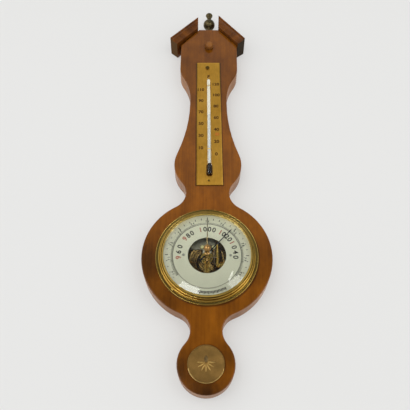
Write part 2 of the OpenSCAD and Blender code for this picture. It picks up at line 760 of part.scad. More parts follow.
// plate over the capsule with two upturned ears that hold the shaft's pivots
module rocking_frame() {
    plate_bot = frame_top - frame_t;
    color("darkgoldenrod") on_face() difference() {
        union() {
            translate([shaft_x - 1.6, shaft_y0 - slide - ear_t, plate_bot])
                cube([3.2, shaft_y1 - shaft_y0 + 2 * ear_t + 2 * slide, frame_t]);
            for (y = [shaft_y1 - 2, shaft_y0 + 1]) {
                translate([shaft_x, y - 2, plate_bot]) cube([frame_x - shaft_x, 4, frame_t]);
                disc(frame_x, y, 2.4, plate_bot, frame_top);
            }
            for (y = [shaft_y0 - slide - ear_t, shaft_y1 + slide])
                translate([shaft_x - 1.6, y, plate_bot]) cube([3.2, ear_t, shaft_h + 1.2 - plate_bot]);
        }
        translate([shaft_x, shaft_y0 - 3, shaft_h]) rotate([-90, 0, 0])
            cylinder(r = pivot_r + slide, h = shaft_y1 - shaft_y0 + 6);
        for (y = [shaft_y1 - 2, shaft_y0 + 1]) disc(frame_x, y, 0.85, plate_bot - 1, frame_top + 1);
    }
}

module frame_pillars() {
    color("goldenrod") on_face() for (y = [shaft_y1 - 2, shaft_y0 + 1]) difference() {
        disc(frame_x, y, 1.7, base_top, frame_top - frame_t);
        disc(frame_x, y, 0.85, frame_top - frame_t - 2.1, frame_top);
    }
}

module frame_screws() {
    color("silver") on_face() for (y = [shaft_y1 - 2, shaft_y0 + 1])
        screw(frame_x, y, frame_top, 1.9, 1, 0.8, frame_t + 2, 70);
}

// fine chain from the long arm to the arbor
module chain() {
    links = 8;
    x0 = 0.2;
    pitch = (shaft_x - 0.4 - x0) / links;
    y = -drum_r - 0.2;
    color("silver") on_face() for (k = [0:links - 1]) {
        translate([x0 + pitch * k, y - (k % 2 == 0 ? 0.15 : 0.09), chain_h - (k % 2 == 0 ? 0.24 : 0.16)])
            cube([pitch + (k == links - 1 ? 0 : 0.12), k % 2 == 0 ? 0.3 : 0.18, k % 2 == 0 ? 0.48 : 0.32]);
    }
}

module bridge_pillars() {
    color("goldenrod") on_face() for (x = [-1, 1]) difference() {
        disc(x * bridge_x, bridge_y, 1.7, base_top, lower_bot);
        disc(x * bridge_x, bridge_y, 0.85, lower_bot - 2.1, lower_bot + 1);
    }
}

// outline of both bridge plates: a round hub and a leg down to the pillars
module bridge_outline(r, leg_w) {
    circle(r = r);
    translate([-leg_w / 2, bridge_y]) square([leg_w, -bridge_y]);
    translate([-bridge_x - 2.2, bridge_y - 2.2]) square([2 * bridge_x + 4.4, 4.4]);
}

module lower_plate() {
    color("darkgoldenrod") on_face() difference() {
        union() {
            translate([0, 0, lower_bot]) linear_extrude(height = lower_t) bridge_outline(hub_r, 5);
            disc(stud_x, 0, 0.5, lower_top - 0.1, lower_top + 1.4);
        }
        disc(0, 0, pivot_r + slide, lower_bot - 1, lower_top + 1);
        for (x = [-1, 1]) disc(x * bridge_x, bridge_y, 0.85, lower_bot - 1, lower_top + 1);
    }
}

module bridge_spacers() {
    color("goldenrod") on_face() for (x = [-1, 1]) difference() {
        disc(x * bridge_x, bridge_y, 1.7, lower_top, cock_bot);
        disc(x * bridge_x, bridge_y, 0.85, lower_top - 1, cock_bot + 1);
    }
}

// slotted cock over the arbor
module upper_cock() {
    color("gold") on_face() difference() {
        translate([0, 0, cock_bot]) linear_extrude(height = cock_t) bridge_outline(4.2, 5);
        translate([-0.9, bridge_y + 4, cock_bot - 1]) cube([1.8, -bridge_y - 9, cock_t + 2]);
        disc(0, 0, arbor_r + slide, cock_bot - 1, cock_top + 1);
        for (x = [-1, 1]) disc(x * bridge_x, bridge_y, 0.85, cock_bot - 1, cock_top + 1);
    }
}

module cock_screws() {
    color("silver") on_face() for (x = [-1, 1])
        screw(x * bridge_x, bridge_y, cock_top, 1.8, 0.9, 0.8, cock_top - lower_bot + 2, 25 * x);
}

// upright arbor: collet for the hairspring, a drum for the chain and a seat for the hand
module hand_arbor() {
    color("silver") on_face() {
        disc(0, 0, pivot_r, lower_bot + 0.05, lower_top + 0.3);
        disc(0, 0, 1.3, lower_top + slide, lower_top + 1.4);
        disc(0, 0, drum_r, lower_top + 1.3, cock_bot - 0.3);
        for (h = [chain_h - 0.7, chain_h + 0.4]) disc(0, 0, 1.2, h, h + 0.3);
        disc(0, 0, arbor_r, chain_h + 0.5, hand_plane + hand_t + 0.1);
    }
}

// flat spiral of thin ribbon, from the collet out to the stud
hair_steps = 24 * hair_turns;
function hair_r(k) = hair_r0 + hair_pitch * k / 24;
function hair_point(k, side) = (hair_r(k) + side * hair_w / 2) * [cos(15 * k), sin(15 * k)];
hair_gap = min([for (k = [24:hair_steps]) norm(hair_point(k, -1) - hair_point(k - 24, 1))]);
echo(hairspring_least_gap_mm = hair_gap);

module hairspring() {
    color("steelblue") on_face() translate([0, 0, lower_top + 0.4]) linear_extrude(height = hair_h)
        polygon(concat(
            [for (k = [0:hair_steps]) hair_point(k, 1)],
            [for (k = [hair_steps:-1:0]) hair_point(k, -1)]
        ));
}

// a tapering hand: half widths at the tip, at the axis and at the end of the tail
module hand_outline(reach, tip, root, tail_w, tail) {
    half = [[tip, reach - 1.1], [root, 0], [tail_w, -tail]];
    polygon(concat([[0, reach]], half, [for (i = [2:-1:0]) [-half[i].x, half[i].y]]));
}

// thin tapering hand with a short tail
module pressure_hand() {
    color("darkslategray") on_face() rotate([0, 0, -hand_angle]) difference() {
        union() {
            disc(0, 0, 2.1, hand_plane, hand_plane + hand_t);
            translate([0, 0, hand_plane]) linear_extrude(height = hand_t)
                hand_outline(hand_l, 0.35, 0.7, 1.1, 11);
        }
        disc(0, 0, arbor_r + 0.01, hand_plane - 1, hand_plane + 2);
    }
}

// brass set hand on a hub, close under the glass
module set_hand() {
    color("gold") on_face() difference() {
        union() {
            disc(0, 0, 2.2, hub_bot, hub_top);
            translate([0, 0, set_plane]) linear_extrude(height = 0.22)
                hand_outline(set_hand_l, 0.3, 0.6, 0.9, 8);
        }
        disc(0, 0, 1.01, hub_bot - 1, hub_top + 1);
    }
}

// knob on a stem that passes through the glass
module set_knob() {
    collar = glass_top + 0.1;
    neck_r = 1.3;
    neck = asin(neck_r / knob_r);
    color("goldenrod") on_face() {
        disc(0, 0, 1, hub_bot, collar + 0.2);
        disc(0, 0, stem_hole_r - slide, hub_top + 0.02, collar + 0.2);
        rotate_extrude() polygon(concat(
            [[0, collar], [2.6, collar], [2.6, collar + 0.7], [1.5, collar + 1.5], [neck_r, collar + 2.5],
                [neck_r, knob_h - knob_r * cos(neck)]],
            [for (k = [1:12]) let (b = neck + (180 - neck) * k / 12)
                [knob_r * sin(b), knob_h - knob_r * cos(b)]]
        ));
    }
}

// screw at the back that presses on the spring's foot and sets the hand
module adjusting_screw() {
    color("goldenrod") on_face() difference() {
        union() {
            disc(0, screw_y, 2.6, pan_back + 0.05, pan_floor - 0.05);
            disc(0, screw_y, 1.4, pan_floor - 0.1, base_top - 0.05);
        }
        translate([0, screw_y, pan_back]) rotate([0, 0, 30]) cube([6, 0.7, 0.8], center = true);
    }
}

case_board();
pediment_left();
pediment_right();
finial();
top_button();
hanging_plate();
hanging_screws();
foot_disc();
thermometer_plate();
thermometer_tube();
thermometer_liquid();
tube_staples();
plate_screw();
plate_nail();
bezel();
bezel_pins();
glass();
glass_ring();
dial();
dial_screws();
movement_pan();
movement_screws();
base_plate();
dial_pillars();
capsule();
capsule_post();
main_spring();
spring_screws();
main_lever();
lever_screws();
rocking_shaft();
rocking_frame();
frame_pillars();
frame_screws();
chain();
bridge_pillars();
lower_plate();
bridge_spacers();
upper_cock();
cock_screws();
hand_arbor();
hairspring();
pressure_hand();
set_hand();
set_knob();
adjusting_screw();
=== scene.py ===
import math
import bmesh
import bpy
from mathutils import Matrix, Quaternion, Vector
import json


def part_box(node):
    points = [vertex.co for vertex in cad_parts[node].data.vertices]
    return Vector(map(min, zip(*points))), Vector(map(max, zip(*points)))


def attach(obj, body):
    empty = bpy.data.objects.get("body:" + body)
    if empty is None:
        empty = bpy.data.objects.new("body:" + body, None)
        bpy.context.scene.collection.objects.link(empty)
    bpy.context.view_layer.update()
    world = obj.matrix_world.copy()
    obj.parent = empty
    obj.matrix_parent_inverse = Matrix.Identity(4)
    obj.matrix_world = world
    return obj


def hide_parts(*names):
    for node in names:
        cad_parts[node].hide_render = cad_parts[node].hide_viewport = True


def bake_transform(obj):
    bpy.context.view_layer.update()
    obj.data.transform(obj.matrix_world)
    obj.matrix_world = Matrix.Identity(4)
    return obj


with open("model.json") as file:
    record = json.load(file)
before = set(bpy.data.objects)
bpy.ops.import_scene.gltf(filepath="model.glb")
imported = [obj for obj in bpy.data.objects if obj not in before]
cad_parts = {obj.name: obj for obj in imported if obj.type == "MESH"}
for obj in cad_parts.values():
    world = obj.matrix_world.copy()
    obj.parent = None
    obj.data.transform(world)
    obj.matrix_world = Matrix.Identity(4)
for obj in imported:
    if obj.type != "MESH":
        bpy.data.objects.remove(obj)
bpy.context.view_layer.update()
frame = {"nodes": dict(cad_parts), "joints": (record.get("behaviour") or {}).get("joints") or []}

# Camera
# It stands in front of the dial, a little to the left of the middle and well below it, and looks up along
# the case. Its place is measured from the face of the board and the axis of the hands.
MM = 0.001
hand_joint = next(j for j in frame["joints"] if j["name"] == "hand_turn")
dial_z = hand_joint["pos_m"][2]
face_y = hand_joint["pos_m"][1]
lens_in_picture_px = 483.9
picture_px = 410
camera_tilt = math.radians(29.03)
camera_roll = math.radians(0.69)
camera_place = (-2.69, -194.4, 456.0)
sensor_w = 36.0


def on_face(x, y, h):
    """A place in mm: x to the right, y up from the dial's centre, h out of the board's face."""
    return Vector((x * MM, face_y - h * MM, dial_z + y * MM))


def placed(name, data):
    """A new object, put into the scene."""
    made = bpy.data.objects.new(name, data)
    bpy.context.scene.collection.objects.link(made)
    return made


camera_data = bpy.data.cameras.new("camera")
camera_data.sensor_width = sensor_w
camera_data.lens = sensor_w * lens_in_picture_px / picture_px
camera_data.clip_start = 0.01
camera = placed("camera", camera_data)
back = Vector((0.0, -math.cos(camera_tilt), -math.sin(camera_tilt)))
right = Vector((1.0, 0.0, 0.0))
up = back.cross(right)
rolled_right = right * math.cos(camera_roll) + up * math.sin(camera_roll)
rolled_up = up * math.cos(camera_roll) - right * math.sin(camera_roll)
turn = Matrix((rolled_right, rolled_up, back)).transposed().to_4x4()
camera.matrix_world = Matrix.Translation(on_face(*camera_place)) @ turn
bpy.context.scene.camera = camera
bpy.context.scene.view_settings.view_transform = "Standard"

# Wall, room and lamps
# A plain pale wall stands behind the case and lets the eye and the lamps through from behind. Two large soft
# boxes light the front and two weak ones the back. Three small lamps show in the glass.
wall_tone = (0.785, 0.785, 0.775, 1.0)
wall_tone_pale = (0.80, 0.80, 0.795, 1.0)
even_share = 0.5


def blank(name):
    """A new material with an empty node tree."""
    material = bpy.data.materials.new(name)
    material.use_nodes = True
    material.node_tree.nodes.clear()
    return material, material.node_tree


def add(tree, kind, sockets=None, **settings):
    """Adds a node to a tree. A socket takes a plain value or another node's output."""
    made = tree.nodes.new(kind)
    for key, value in settings.items():
        setattr(made, key, value)
    for key, value in (sockets or {}).items():
        if isinstance(value, bpy.types.NodeSocket):
            tree.links.new(value, made.inputs[key])
        else:
            made.inputs[key].default_value = value
    return made


def own_place(tree):
    """The place of a point on its own piece, in metres."""
    return add(tree, "ShaderNodeTexCoord").outputs["Object"]


def work_out(tree, operation, first, second, third=0.0):
    """One step of arithmetic on numbers or sockets."""
    return add(tree, "ShaderNodeMath", {0: first, 1: second, 2: third}, operation=operation).outputs[0]


def noise(tree, place, scale=1.0, detail=2.0, roughness=0.5, distortion=0.0):
    """A cloudy pattern between 0 and 1."""
    return add(tree, "ShaderNodeTexNoise", {"Vector": place, "Scale": scale, "Detail": detail,
               "Roughness": roughness, "Distortion": distortion}).outputs["Fac"]


def blend_tones(tree, factor, first, second):
    """Mixes two colours, each a plain one or a socket, by a factor."""
    return add(tree, "ShaderNodeMix", {0: factor, 6: first, 7: second}, data_type="RGBA").outputs[2]


def spread(tree, value, low, high, to_low=0.0, to_high=1.0, smooth=False):
    """Maps a value from one range to another and keeps it inside."""
    kind = "SMOOTHSTEP" if smooth else "LINEAR"
    return add(tree, "ShaderNodeMapRange", {"Value": value, "From Min": low, "From Max": high,
               "To Min": to_low, "To Max": to_high}, interpolation_type=kind).outputs[0]


def mix_shaders(tree, share, first, second):
    """Mixes two shader nodes by the share of the second."""
    return add(tree, "ShaderNodeMixShader", {0: share, 1: first.outputs[0], 2: second.outputs[0]})


def ended(material, shader):
    """Ends a material's node tree with its shader node."""
    add(material.node_tree, "ShaderNodeOutputMaterial", {"Surface": shader.outputs[0]})
    return material


def wall_paint():
    """Pale wall paint. Half of what the eye sees of it is even, so that the case's shadow stays faint."""
    material, tree = blank("wall_paint")
    place = own_place(tree)
    paint = blend_tones(tree, noise(tree, place, 2.5), wall_tone, wall_tone_pale)
    matt = add(tree, "ShaderNodeBsdfDiffuse", {"Color": paint, "Roughness": 0.6})
    even = add(tree, "ShaderNodeEmission", {"Color": paint, "Strength": 1.0})
    path = add(tree, "ShaderNodeLightPath").outputs
    direct = work_out(tree, "MAXIMUM", path["Is Camera Ray"], path["Is Glossy Ray"])
    looked_at = work_out(tree, "MAXIMUM", direct, path["Is Transmission Ray"])
    share = work_out(tree, "MULTIPLY", looked_at, even_share)
    front = mix_shaders(tree, share, matt, even)
    clear = add(tree, "ShaderNodeBsdfTransparent")
    behind = add(tree, "ShaderNodeNewGeometry").outputs["Backfacing"]
    through = work_out(tree, "MAXIMUM", behind, path["Is Shadow Ray"])
    return ended(material, mix_shaders(tree, through, front, clear))


wall_y = 0.0006
wall_half = 4
wall_corners = [(-wall_half, wall_y, -wall_half), (wall_half, wall_y, -wall_half),
                (wall_half, wall_y, wall_half), (-wall_half, wall_y, wall_half)]
wall_mesh = bpy.data.meshes.new("wall")
wall_mesh.from_pydata(wall_corners, [], [range(4)])
wall = placed("wall", wall_mesh)
wall.data.materials.append(wall_paint())

room_tones = ((0.028, 0.04), (0.058, 0.10), (0.085, 0.26), (0.140, 0.52), (0.244, 0.60))
window_ways = ((-0.62, -0.74, -0.25), (0.62, -0.74, -0.25))
window_shine = 2.6


def room():
    """The room as metal, glass and varnish see it: dark straight before the case and pale all round."""
    world = bpy.data.worlds.new("room")
    bpy.context.scene.world = world
    world.use_nodes = True
    tree = world.node_tree
    tree.nodes.clear()
    way = add(tree, "ShaderNodeTexCoord").outputs["Generated"]
    parts = add(tree, "ShaderNodeSeparateXYZ", {"Vector": way})
    ramp = add(tree, "ShaderNodeValToRGB", {"Fac": spread(tree, parts.outputs["Y"], -1.0, 0.2)})
    tones = ramp.color_ramp.elements
    tones[0].position, tones[0].color = 0.0, (0.02, 0.02, 0.02, 1.0)
    tones[1].position, tones[1].color = 1.0, (0.62, 0.62, 0.61, 1.0)
    for position, tone in room_tones:
        stop = tones.new(position)
        stop.color = (tone, tone, tone, 1.0)
    aside = work_out(tree, "ABSOLUTE", parts.outputs["X"], 0.0)
    before = spread(tree, parts.outputs["Y"], -0.15, 0.05, 0.55, 0.0)
    dimmed = spread(tree, aside, 0.25, 0.65)
    strength = work_out(tree, "MULTIPLY_ADD", work_out(tree, "MULTIPLY", before, dimmed), -1.0, 1.0)
    for window in window_ways:
        near = add(tree, "ShaderNodeVectorMath", {0: way, 1: window}, operation="DOT_PRODUCT")
        shine = spread(tree, near.outputs["Value"], 0.86, 0.97, 0.0, window_shine)
        strength = work_out(tree, "ADD", strength, shine)
    mirrored = add(tree, "ShaderNodeBackground", {"Color": ramp.outputs[0], "Strength": strength})
    soft = add(tree, "ShaderNodeBackground", {"Color": (0.76, 0.76, 0.75, 1.0), "Strength": 1.0})
    plain = add(tree, "ShaderNodeBackground", {"Color": wall_tone, "Strength": 1.0})
    path = add(tree, "ShaderNodeLightPath").outputs
    light = mix_shaders(tree, path["Is Diffuse Ray"], mirrored, soft)
    seen = mix_shaders(tree, path["Is Camera Ray"], light, plain)
    add(tree, "ShaderNodeOutputWorld", {"Surface": seen.outputs[0]})


room()


def lamp(name, x, y, h, width, height, watts, target=(0.0, 60.0, 0.0), turn=0.0):
    """A soft box at a place in mm before the face, aimed at a target there and turned about its aim.
    Its width and height are in metres."""
    data = bpy.data.lights.new(name, "AREA")
    data.shape, data.size, data.size_y = "RECTANGLE", width, height
    data.energy = watts
    made = placed(name, data)
    made.location = on_face(x, y, h)
    aim = on_face(*target) - made.location
    about_aim = Quaternion((0, 0, 1), math.radians(turn))
    made.rotation_euler = (aim.to_track_quat("-Z", "Y") @ about_aim).to_euler()
    return made


lamp("left_box", -1500, 700, 1900, 2.2, 2.2, 13.0)
lamp("right_box", 1700, 200, 1700, 1.6, 1.6, 5.0)
lamp("glass_box_left", -232, -60, 970, 0.30, 0.125, 1.0, target=(-25.0, -30.0, 6.0))
lamp("glass_box_right", 380, 40, 940, 0.25, 0.13, 0.50, target=(30.0, -28.0, 6.0))
lamp("strip_lamp", 78, 328, 935, 0.006, 0.029, 0.0026, target=(23.0, -20.0, 6.0), turn=-22.0)
lamp("behind_left", -700, 200, -900, 0.6, 0.6, 5.0)
lamp("behind_right", 700, 100, -900, 0.6, 0.6, 4.0)

# Case board
# The case is one board of solid wood, sawn to the banjo outline, softened along the front edge, stained
# and varnished. Broad patches, partly stain and partly painted light and shade, darken its front at the left
# of the round part and along the rim of the foot and lighten it above the dial. Painted shadows fall round
# the bezel and the foot disc.


def dress(piece, material):
    """Gives a piece one material all over."""
    piece.data.materials.clear()
    piece.data.materials.append(material)


def node_dress(name, material):
    """Gives a CAD node one material."""
    dress(frame["nodes"][name], material)


def mapped(tree, place, scale):
    """Stretches a place by a scale for each axis."""
    return add(tree, "ShaderNodeMapping", {"Vector": place, "Scale": scale}).outputs[0]


def darken(tree, tone, factor):
    """Scales a colour, or a vector, by a factor."""
    return add(tree, "ShaderNodeVectorMath", {0: tone, "Scale": factor}, operation="SCALE").outputs[0]


def off_centre(tree, place, centre):
    """How far a place lies from a centre, along each axis."""
    return add(tree, "ShaderNodeVectorMath", {0: place, 1: tuple(centre)}, operation="SUBTRACT").outputs[0]


def length(tree, way):
    """The length of a vector."""
    return add(tree, "ShaderNodeVectorMath", {0: way}, operation="LENGTH").outputs["Value"]


def around(tree, place, x, y, reach, amount, stretch):
    """A factor that grows or shrinks from 1 by an amount towards a place in mm on the face."""
    off = off_centre(tree, place, on_face(x, y, 0))
    far = length(tree, mapped(tree, off, (1.0 / (reach * MM), 0.0, 1.0 / (reach * MM * stretch))))
    return spread(tree, far, 0.0, 1.0, 1.0 + amount, 1.0, smooth=True)


def gathered(tree, place, x, y, radius, soft, amount):
    """A factor of 1 that falls by an amount inside a circle in mm on the face: a painted shadow round a raised
    part.
    """
    far = length(tree, mapped(tree, off_centre(tree, place, on_face(x, y, 0)), (1.0, 0.0, 1.0)))
    return spread(tree, far, (radius - soft) * MM, radius * MM, 1.0 - amount, 1.0)


def facing(tree, axis):
    """The share of a face's own direction that points along an axis."""
    way = add(tree, "ShaderNodeNewGeometry").outputs["True Normal"]
    return add(tree, "ShaderNodeSeparateXYZ", {"Vector": way}).outputs[axis]


def front_only(tree, factor):
    """Keeps a factor on the board's front face and leaves 1 on its sides and back."""
    front = spread(tree, facing(tree, "Y"), -0.6, -0.3, 1.0, 0.0)
    off = work_out(tree, "SUBTRACT", factor, 1.0)
    return work_out(tree, "MULTIPLY_ADD", off, front, 1.0)


def bumps(tree, height, strength, distance):
    """A surface's direction, roughened by a pattern."""
    return add(tree, "ShaderNodeBump", {"Height": height, "Strength": strength,
               "Distance": distance}).outputs[0]


stain_shade_wander = 0.016


def varnished_wood(name, dark, light, lean=0.0, coat=0.7, coat_rough=0.11, stains_and_shade=(), rings=(), side=None):
    """Straight-grained wood under varnish. Lean tilts the grain; stains_and_shade are patches of stain and of
    painted light and shade: x, y, reach, amount and stretch. Rings are painted shadow rings: x, y, radius,
    softness and amount. Side is the paler pair of tones of the sawn sides."""
    material, tree = blank(name)
    object_place = own_place(tree)
    place = add(tree, "ShaderNodeVectorRotate", {"Vector": object_place, "Angle": lean},
                rotation_type="Y_AXIS").outputs[0] if lean else object_place
    fibre = noise(tree, mapped(tree, place, (620, 620, 11)), detail=5.0, roughness=0.62)
    figure = noise(tree, mapped(tree, place, (75, 75, 3.4)), detail=3.0, distortion=0.7)
    cloud = noise(tree, mapped(tree, place, (60, 60, 34)), detail=4.0, roughness=0.6)
    pore = noise(tree, mapped(tree, place, (2100, 2100, 60)))
    weighed = work_out(tree, "MULTIPLY_ADD", fibre, 0.35, 0.0)
    weighed = work_out(tree, "MULTIPLY_ADD", figure, 0.25, weighed)
    weighed = work_out(tree, "MULTIPLY_ADD", cloud, 0.40, weighed)
    grain = spread(tree, weighed, 0.38, 0.62)
    wood = blend_tones(tree, grain, dark, light)
    pitted = spread(tree, pore, 0.28, 0.40, 0.72, 1.0)
    mottled = spread(tree, cloud, 0.3, 0.7, 0.88, 1.10)
    weather = work_out(tree, "MULTIPLY", pitted, mottled)
    factor = 1.0
    coarse = mapped(tree, object_place, (55, 55, 30))
    ragged = add(tree, "ShaderNodeTexNoise", {"Vector": coarse, "Detail": 3.0})
    loose = darken(tree, ragged.outputs["Color"], stain_shade_wander)
    loose = add(tree, "ShaderNodeVectorMath", {0: loose, 1: object_place}, operation="ADD").outputs[0]
    mean = stain_shade_wander / 2 / MM
    # Patches of stain and of painted light and shade, with ragged centres.
    for x, y, reach, amount, stretch in stains_and_shade:
        stain_and_shade = around(tree, loose, x + mean, y + mean, reach, amount, stretch)
        factor = work_out(tree, "MULTIPLY", factor, stain_and_shade)
    # Painted shadow rings round raised parts.
    for ring in rings:
        factor = work_out(tree, "MULTIPLY", factor, gathered(tree, object_place, *ring))
    wood = darken(tree, wood, work_out(tree, "MULTIPLY", weather, front_only(tree, factor)))
    if side:
        turned_away = spread(tree, work_out(tree, "ABSOLUTE", facing(tree, "Y"), 0.0), 0.35, 0.75, 1.0, 0.0)
        wood = blend_tones(tree, turned_away, wood, blend_tones(tree, grain, *side))
        coat = work_out(tree, "MULTIPLY_ADD", turned_away, -0.6 * coat, coat)
    dull = spread(tree, fibre, 0.3, 0.7, 0.36, 0.54)
    bump = bumps(tree, fibre, 0.25, 0.00006)
    skin = bumps(tree, cloud, 0.2, 0.0005)
    body = add(tree, "ShaderNodeBsdfPrincipled", {"Base Color": wood, "Roughness": dull, "Normal": bump,
               "Coat Weight": coat, "Coat Roughness": coat_rough, "Coat IOR": 1.5, "Coat Normal": skin,
               "Coat Tint": (1.0, 0.88, 0.72, 1.0), "Specular IOR Level": 0.03})
    return ended(material, body)


case_dark = (0.152, 0.048, 0.0012, 1.0)
case_light = (0.234, 0.080, 0.0030, 1.0)
# Partly stain and partly painted light and shade: darker at the left of the round part and round the foot,
# lighter above the dial.
case_stain_and_shade_patches = (
    (-62, -8, 42, -0.66, 1.2), (-40, -48, 28, -0.34, 1.0), (62, -6, 40, -0.34, 1.3),
    (0, 66, 34, 0.28, 0.7), (0, 250, 150, -0.25, 1.0), (-26, -112, 26, -0.62, 1.0),
    (0, -134, 34, -0.75, 0.8), (26, -100, 22, -0.45, 1.0), (30, -60, 30, -0.14, 1.0))
# Painted shadows round the bezel and the foot disc, off-centre to the right.
case_shadow_rings = ((0.9, -1.0, 53.6, 1.4, 0.55), (0.5, -106.6, 17.9, 0.9, 0.45))
side_tones = ((0.19, 0.085, 0.034, 1.0), (0.34, 0.165, 0.072, 1.0))
case_finish = varnished_wood("case_varnish", case_dark, case_light, stains_and_shade=case_stain_and_shade_patches, rings=case_shadow_rings,
                             side=side_tones)
node_dress("case_board", case_finish)

# Broken pediment
# Two lengths of cove moulding, sawn square at the ends and glued along the sloping shoulders. They are
# stained darker than the board. Their sawn ends are dull, painted lighter brown on the left moulding as lit
# and darker grey on the right one as shaded.
shoulder_lean = math.radians(38.4)
left_extra_lean = math.radians(3.2)
moulding_dark = (0.068, 0.020, 0.0025, 1.0)
moulding_light = (0.165, 0.053, 0.006, 1.0)
# One end grain in two tones: painted lighter where light falls on the left, darker in shade on the right.
left_end_lit_tone = (0.080, 0.044, 0.020, 1.0)
right_end_shaded_tone = (0.036, 0.028, 0.020, 1.0)


def moulding_wood(name, lean, end_tone):
    """The moulding's stained wood. Its grain runs along the shoulder, and its sawn ends are dull, in an end
    tone that carries painted light and shade.
    """
    material = varnished_wood(name, moulding_dark, moulding_light, lean=lean, coat=0.30, coat_rough=0.22)
    tree = material.node_tree
    body = next(node for node in tree.nodes if node.type == "BSDF_PRINCIPLED")
    face_way = add(tree, "ShaderNodeNewGeometry").outputs["True Normal"]
    along = (math.sin(lean), 0.0, math.cos(lean))
    across = add(tree, "ShaderNodeVectorMath", {0: face_way, 1: along}, operation="DOT_PRODUCT")
    sawn = spread(tree, work_out(tree, "ABSOLUTE", across.outputs["Value"], 0.0), 0.8, 0.9)
    wood = body.inputs["Base Color"].links[0].from_socket
    tree.links.new(blend_tones(tree, sawn, wood, end_tone), body.inputs["Base Color"])
    fuzz = noise(tree, own_place(tree), 900.0, 3.0)
    bare = blend_tones(tree, fuzz, end_tone, tuple(1.35 * c for c in end_tone[:3]) + (1.0,))
    matt = add(tree, "ShaderNodeBsdfDiffuse", {"Color": bare})
    out = next(node for node in tree.nodes if node.type == "OUTPUT_MATERIAL")
    tree.links.new(mix_shaders(tree, sawn, body, matt).outputs[0], out.inputs["Surface"])
    return material


right_grain = shoulder_lean - math.pi / 2
left_grain = math.pi / 2 - shoulder_lean - left_extra_lean
right_moulding = moulding_wood("right_moulding_varnish", right_grain, right_end_shaded_tone)
left_moulding = moulding_wood("left_moulding_varnish", left_grain, left_end_lit_tone)
node_dress("pediment_left", left_moulding)
node_dress("pediment_right", right_moulding)

# Finial and button
# The finial is turned from brass and has darkened with age. The button below it is turned from the
# case's own wood and covers the screw that holds the finial's dowel.


def metal(name, bright, dull, patch=60.0, cover=(0.35, 0.65), rough=(0.2, 0.35), marks=900.0,
          depth=0.00002, stretch=(1.0, 1.0, 1.0), turned_at=None, dust=0.0):
    """Metal with dull patches. Its fine marks are drawn out by stretch or run round a centre."""
    material, tree = blank(name)
    place = own_place(tree)
    tarnish = noise(tree, place, patch, 4.0, 0.6)
    if turned_at:
        off = off_centre(tree, place, turned_at)
        radius = length(tree, mapped(tree, off, (1.0, 0.0, 1.0)))
        height = add(tree, "ShaderNodeSeparateXYZ", {"Vector": off}).outputs["Y"]
        rings = add(tree, "ShaderNodeCombineXYZ", {"X": radius, "Y": height}).outputs[0]
        fine = noise(tree, rings, marks, 3.0)
    else:
        fine = noise(tree, mapped(tree, place, stretch), marks, 3.0)
    worn = spread(tree, tarnish, cover[0], cover[1])
    tone = blend_tones(tree, worn, bright, dull)
    tone = darken(tree, tone, spread(tree, fine, 0.3, 0.7, 0.88, 1.08))
    both = work_out(tree, "MULTIPLY_ADD", worn, 0.6, fine)
    surface = spread(tree, both, 0.3, 1.3, rough[0], rough[1])
    body = add(tree, "ShaderNodeBsdfPrincipled", {"Base Color": tone, "Metallic": 1.0, "Roughness": surface,
               "Normal": bumps(tree, fine, 0.4, depth)})
    if dust:
        fleck = spread(tree, noise(tree, place, 1700.0, 1.0), 0.70, 0.74, 0.0, dust)
        powder = add(tree, "ShaderNodeBsdfDiffuse", {"Color": (0.62, 0.62, 0.58, 1.0)})
        body = mix_shaders(tree, fleck, body, powder)
    return ended(material, body)


def shade(piece, angle):
    """Smooth faces, with the edges sharper than the angle kept crisp."""
    for face in piece.data.polygons:
        face.use_smooth = True
    piece.data.set_sharp_from_angle(angle=math.radians(angle))


def turned(name, profile, material, body="case", steps=160, centre=(0.0, 0.0), angle=40.0, seat=None):
    """A turned piece from radius and height in mm, bottom first. Without a seat it stands out of the face."""
    seat = seat or (lambda x, y, height: on_face(centre[0] + x, centre[1] + y, height))
    mesh = bmesh.new()
    rings = []
    for radius, height in profile:
        if radius < 1e-6:
            rings.append([mesh.verts.new(seat(0, 0, height))])
            continue
        ring = []
        for k in range(steps):
            a = 2 * math.pi * k / steps
            ring.append(mesh.verts.new(seat(radius * math.cos(a), radius * math.sin(a), height)))
        rings.append(ring)
    for low, high in zip(rings, rings[1:]):
        for k in range(steps):
            n = (k + 1) % steps
            if len(low) == 1:
                mesh.faces.new((low[0], high[k], high[n]))
            elif len(high) == 1:
                mesh.faces.new((low[k], low[n], high[0]))
            else:
                mesh.faces.new((low[k], low[n], high[n], high[k]))
    bmesh.ops.remove_doubles(mesh, verts=mesh.verts, dist=1e-7)
    bmesh.ops.recalc_face_normals(mesh, faces=mesh.faces)
    return finish_mesh(name, mesh, material, body, angle)


def finish_mesh(name, mesh, material, body="case", angle=40.0):
    """Makes an object of a bmesh, with its material, and lets it ride on a body."""
    data = bpy.data.meshes.new(name)
    mesh.to_mesh(data)
    mesh.free()
    made = placed(name, data)
    dress(made, material)
    shade(made, angle)
    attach(made, body)
    return made


def arc_points(centre, radius, start, end, count):
    """Points of an arc in mm, with both ends; angles in degrees."""
    found = []
    for k in range(count + 1):
        a = math.radians(start + (end - start) * k / count)
        found.append((centre[0] + radius * math.cos(a), centre[1] + radius * math.sin(a)))
    return found


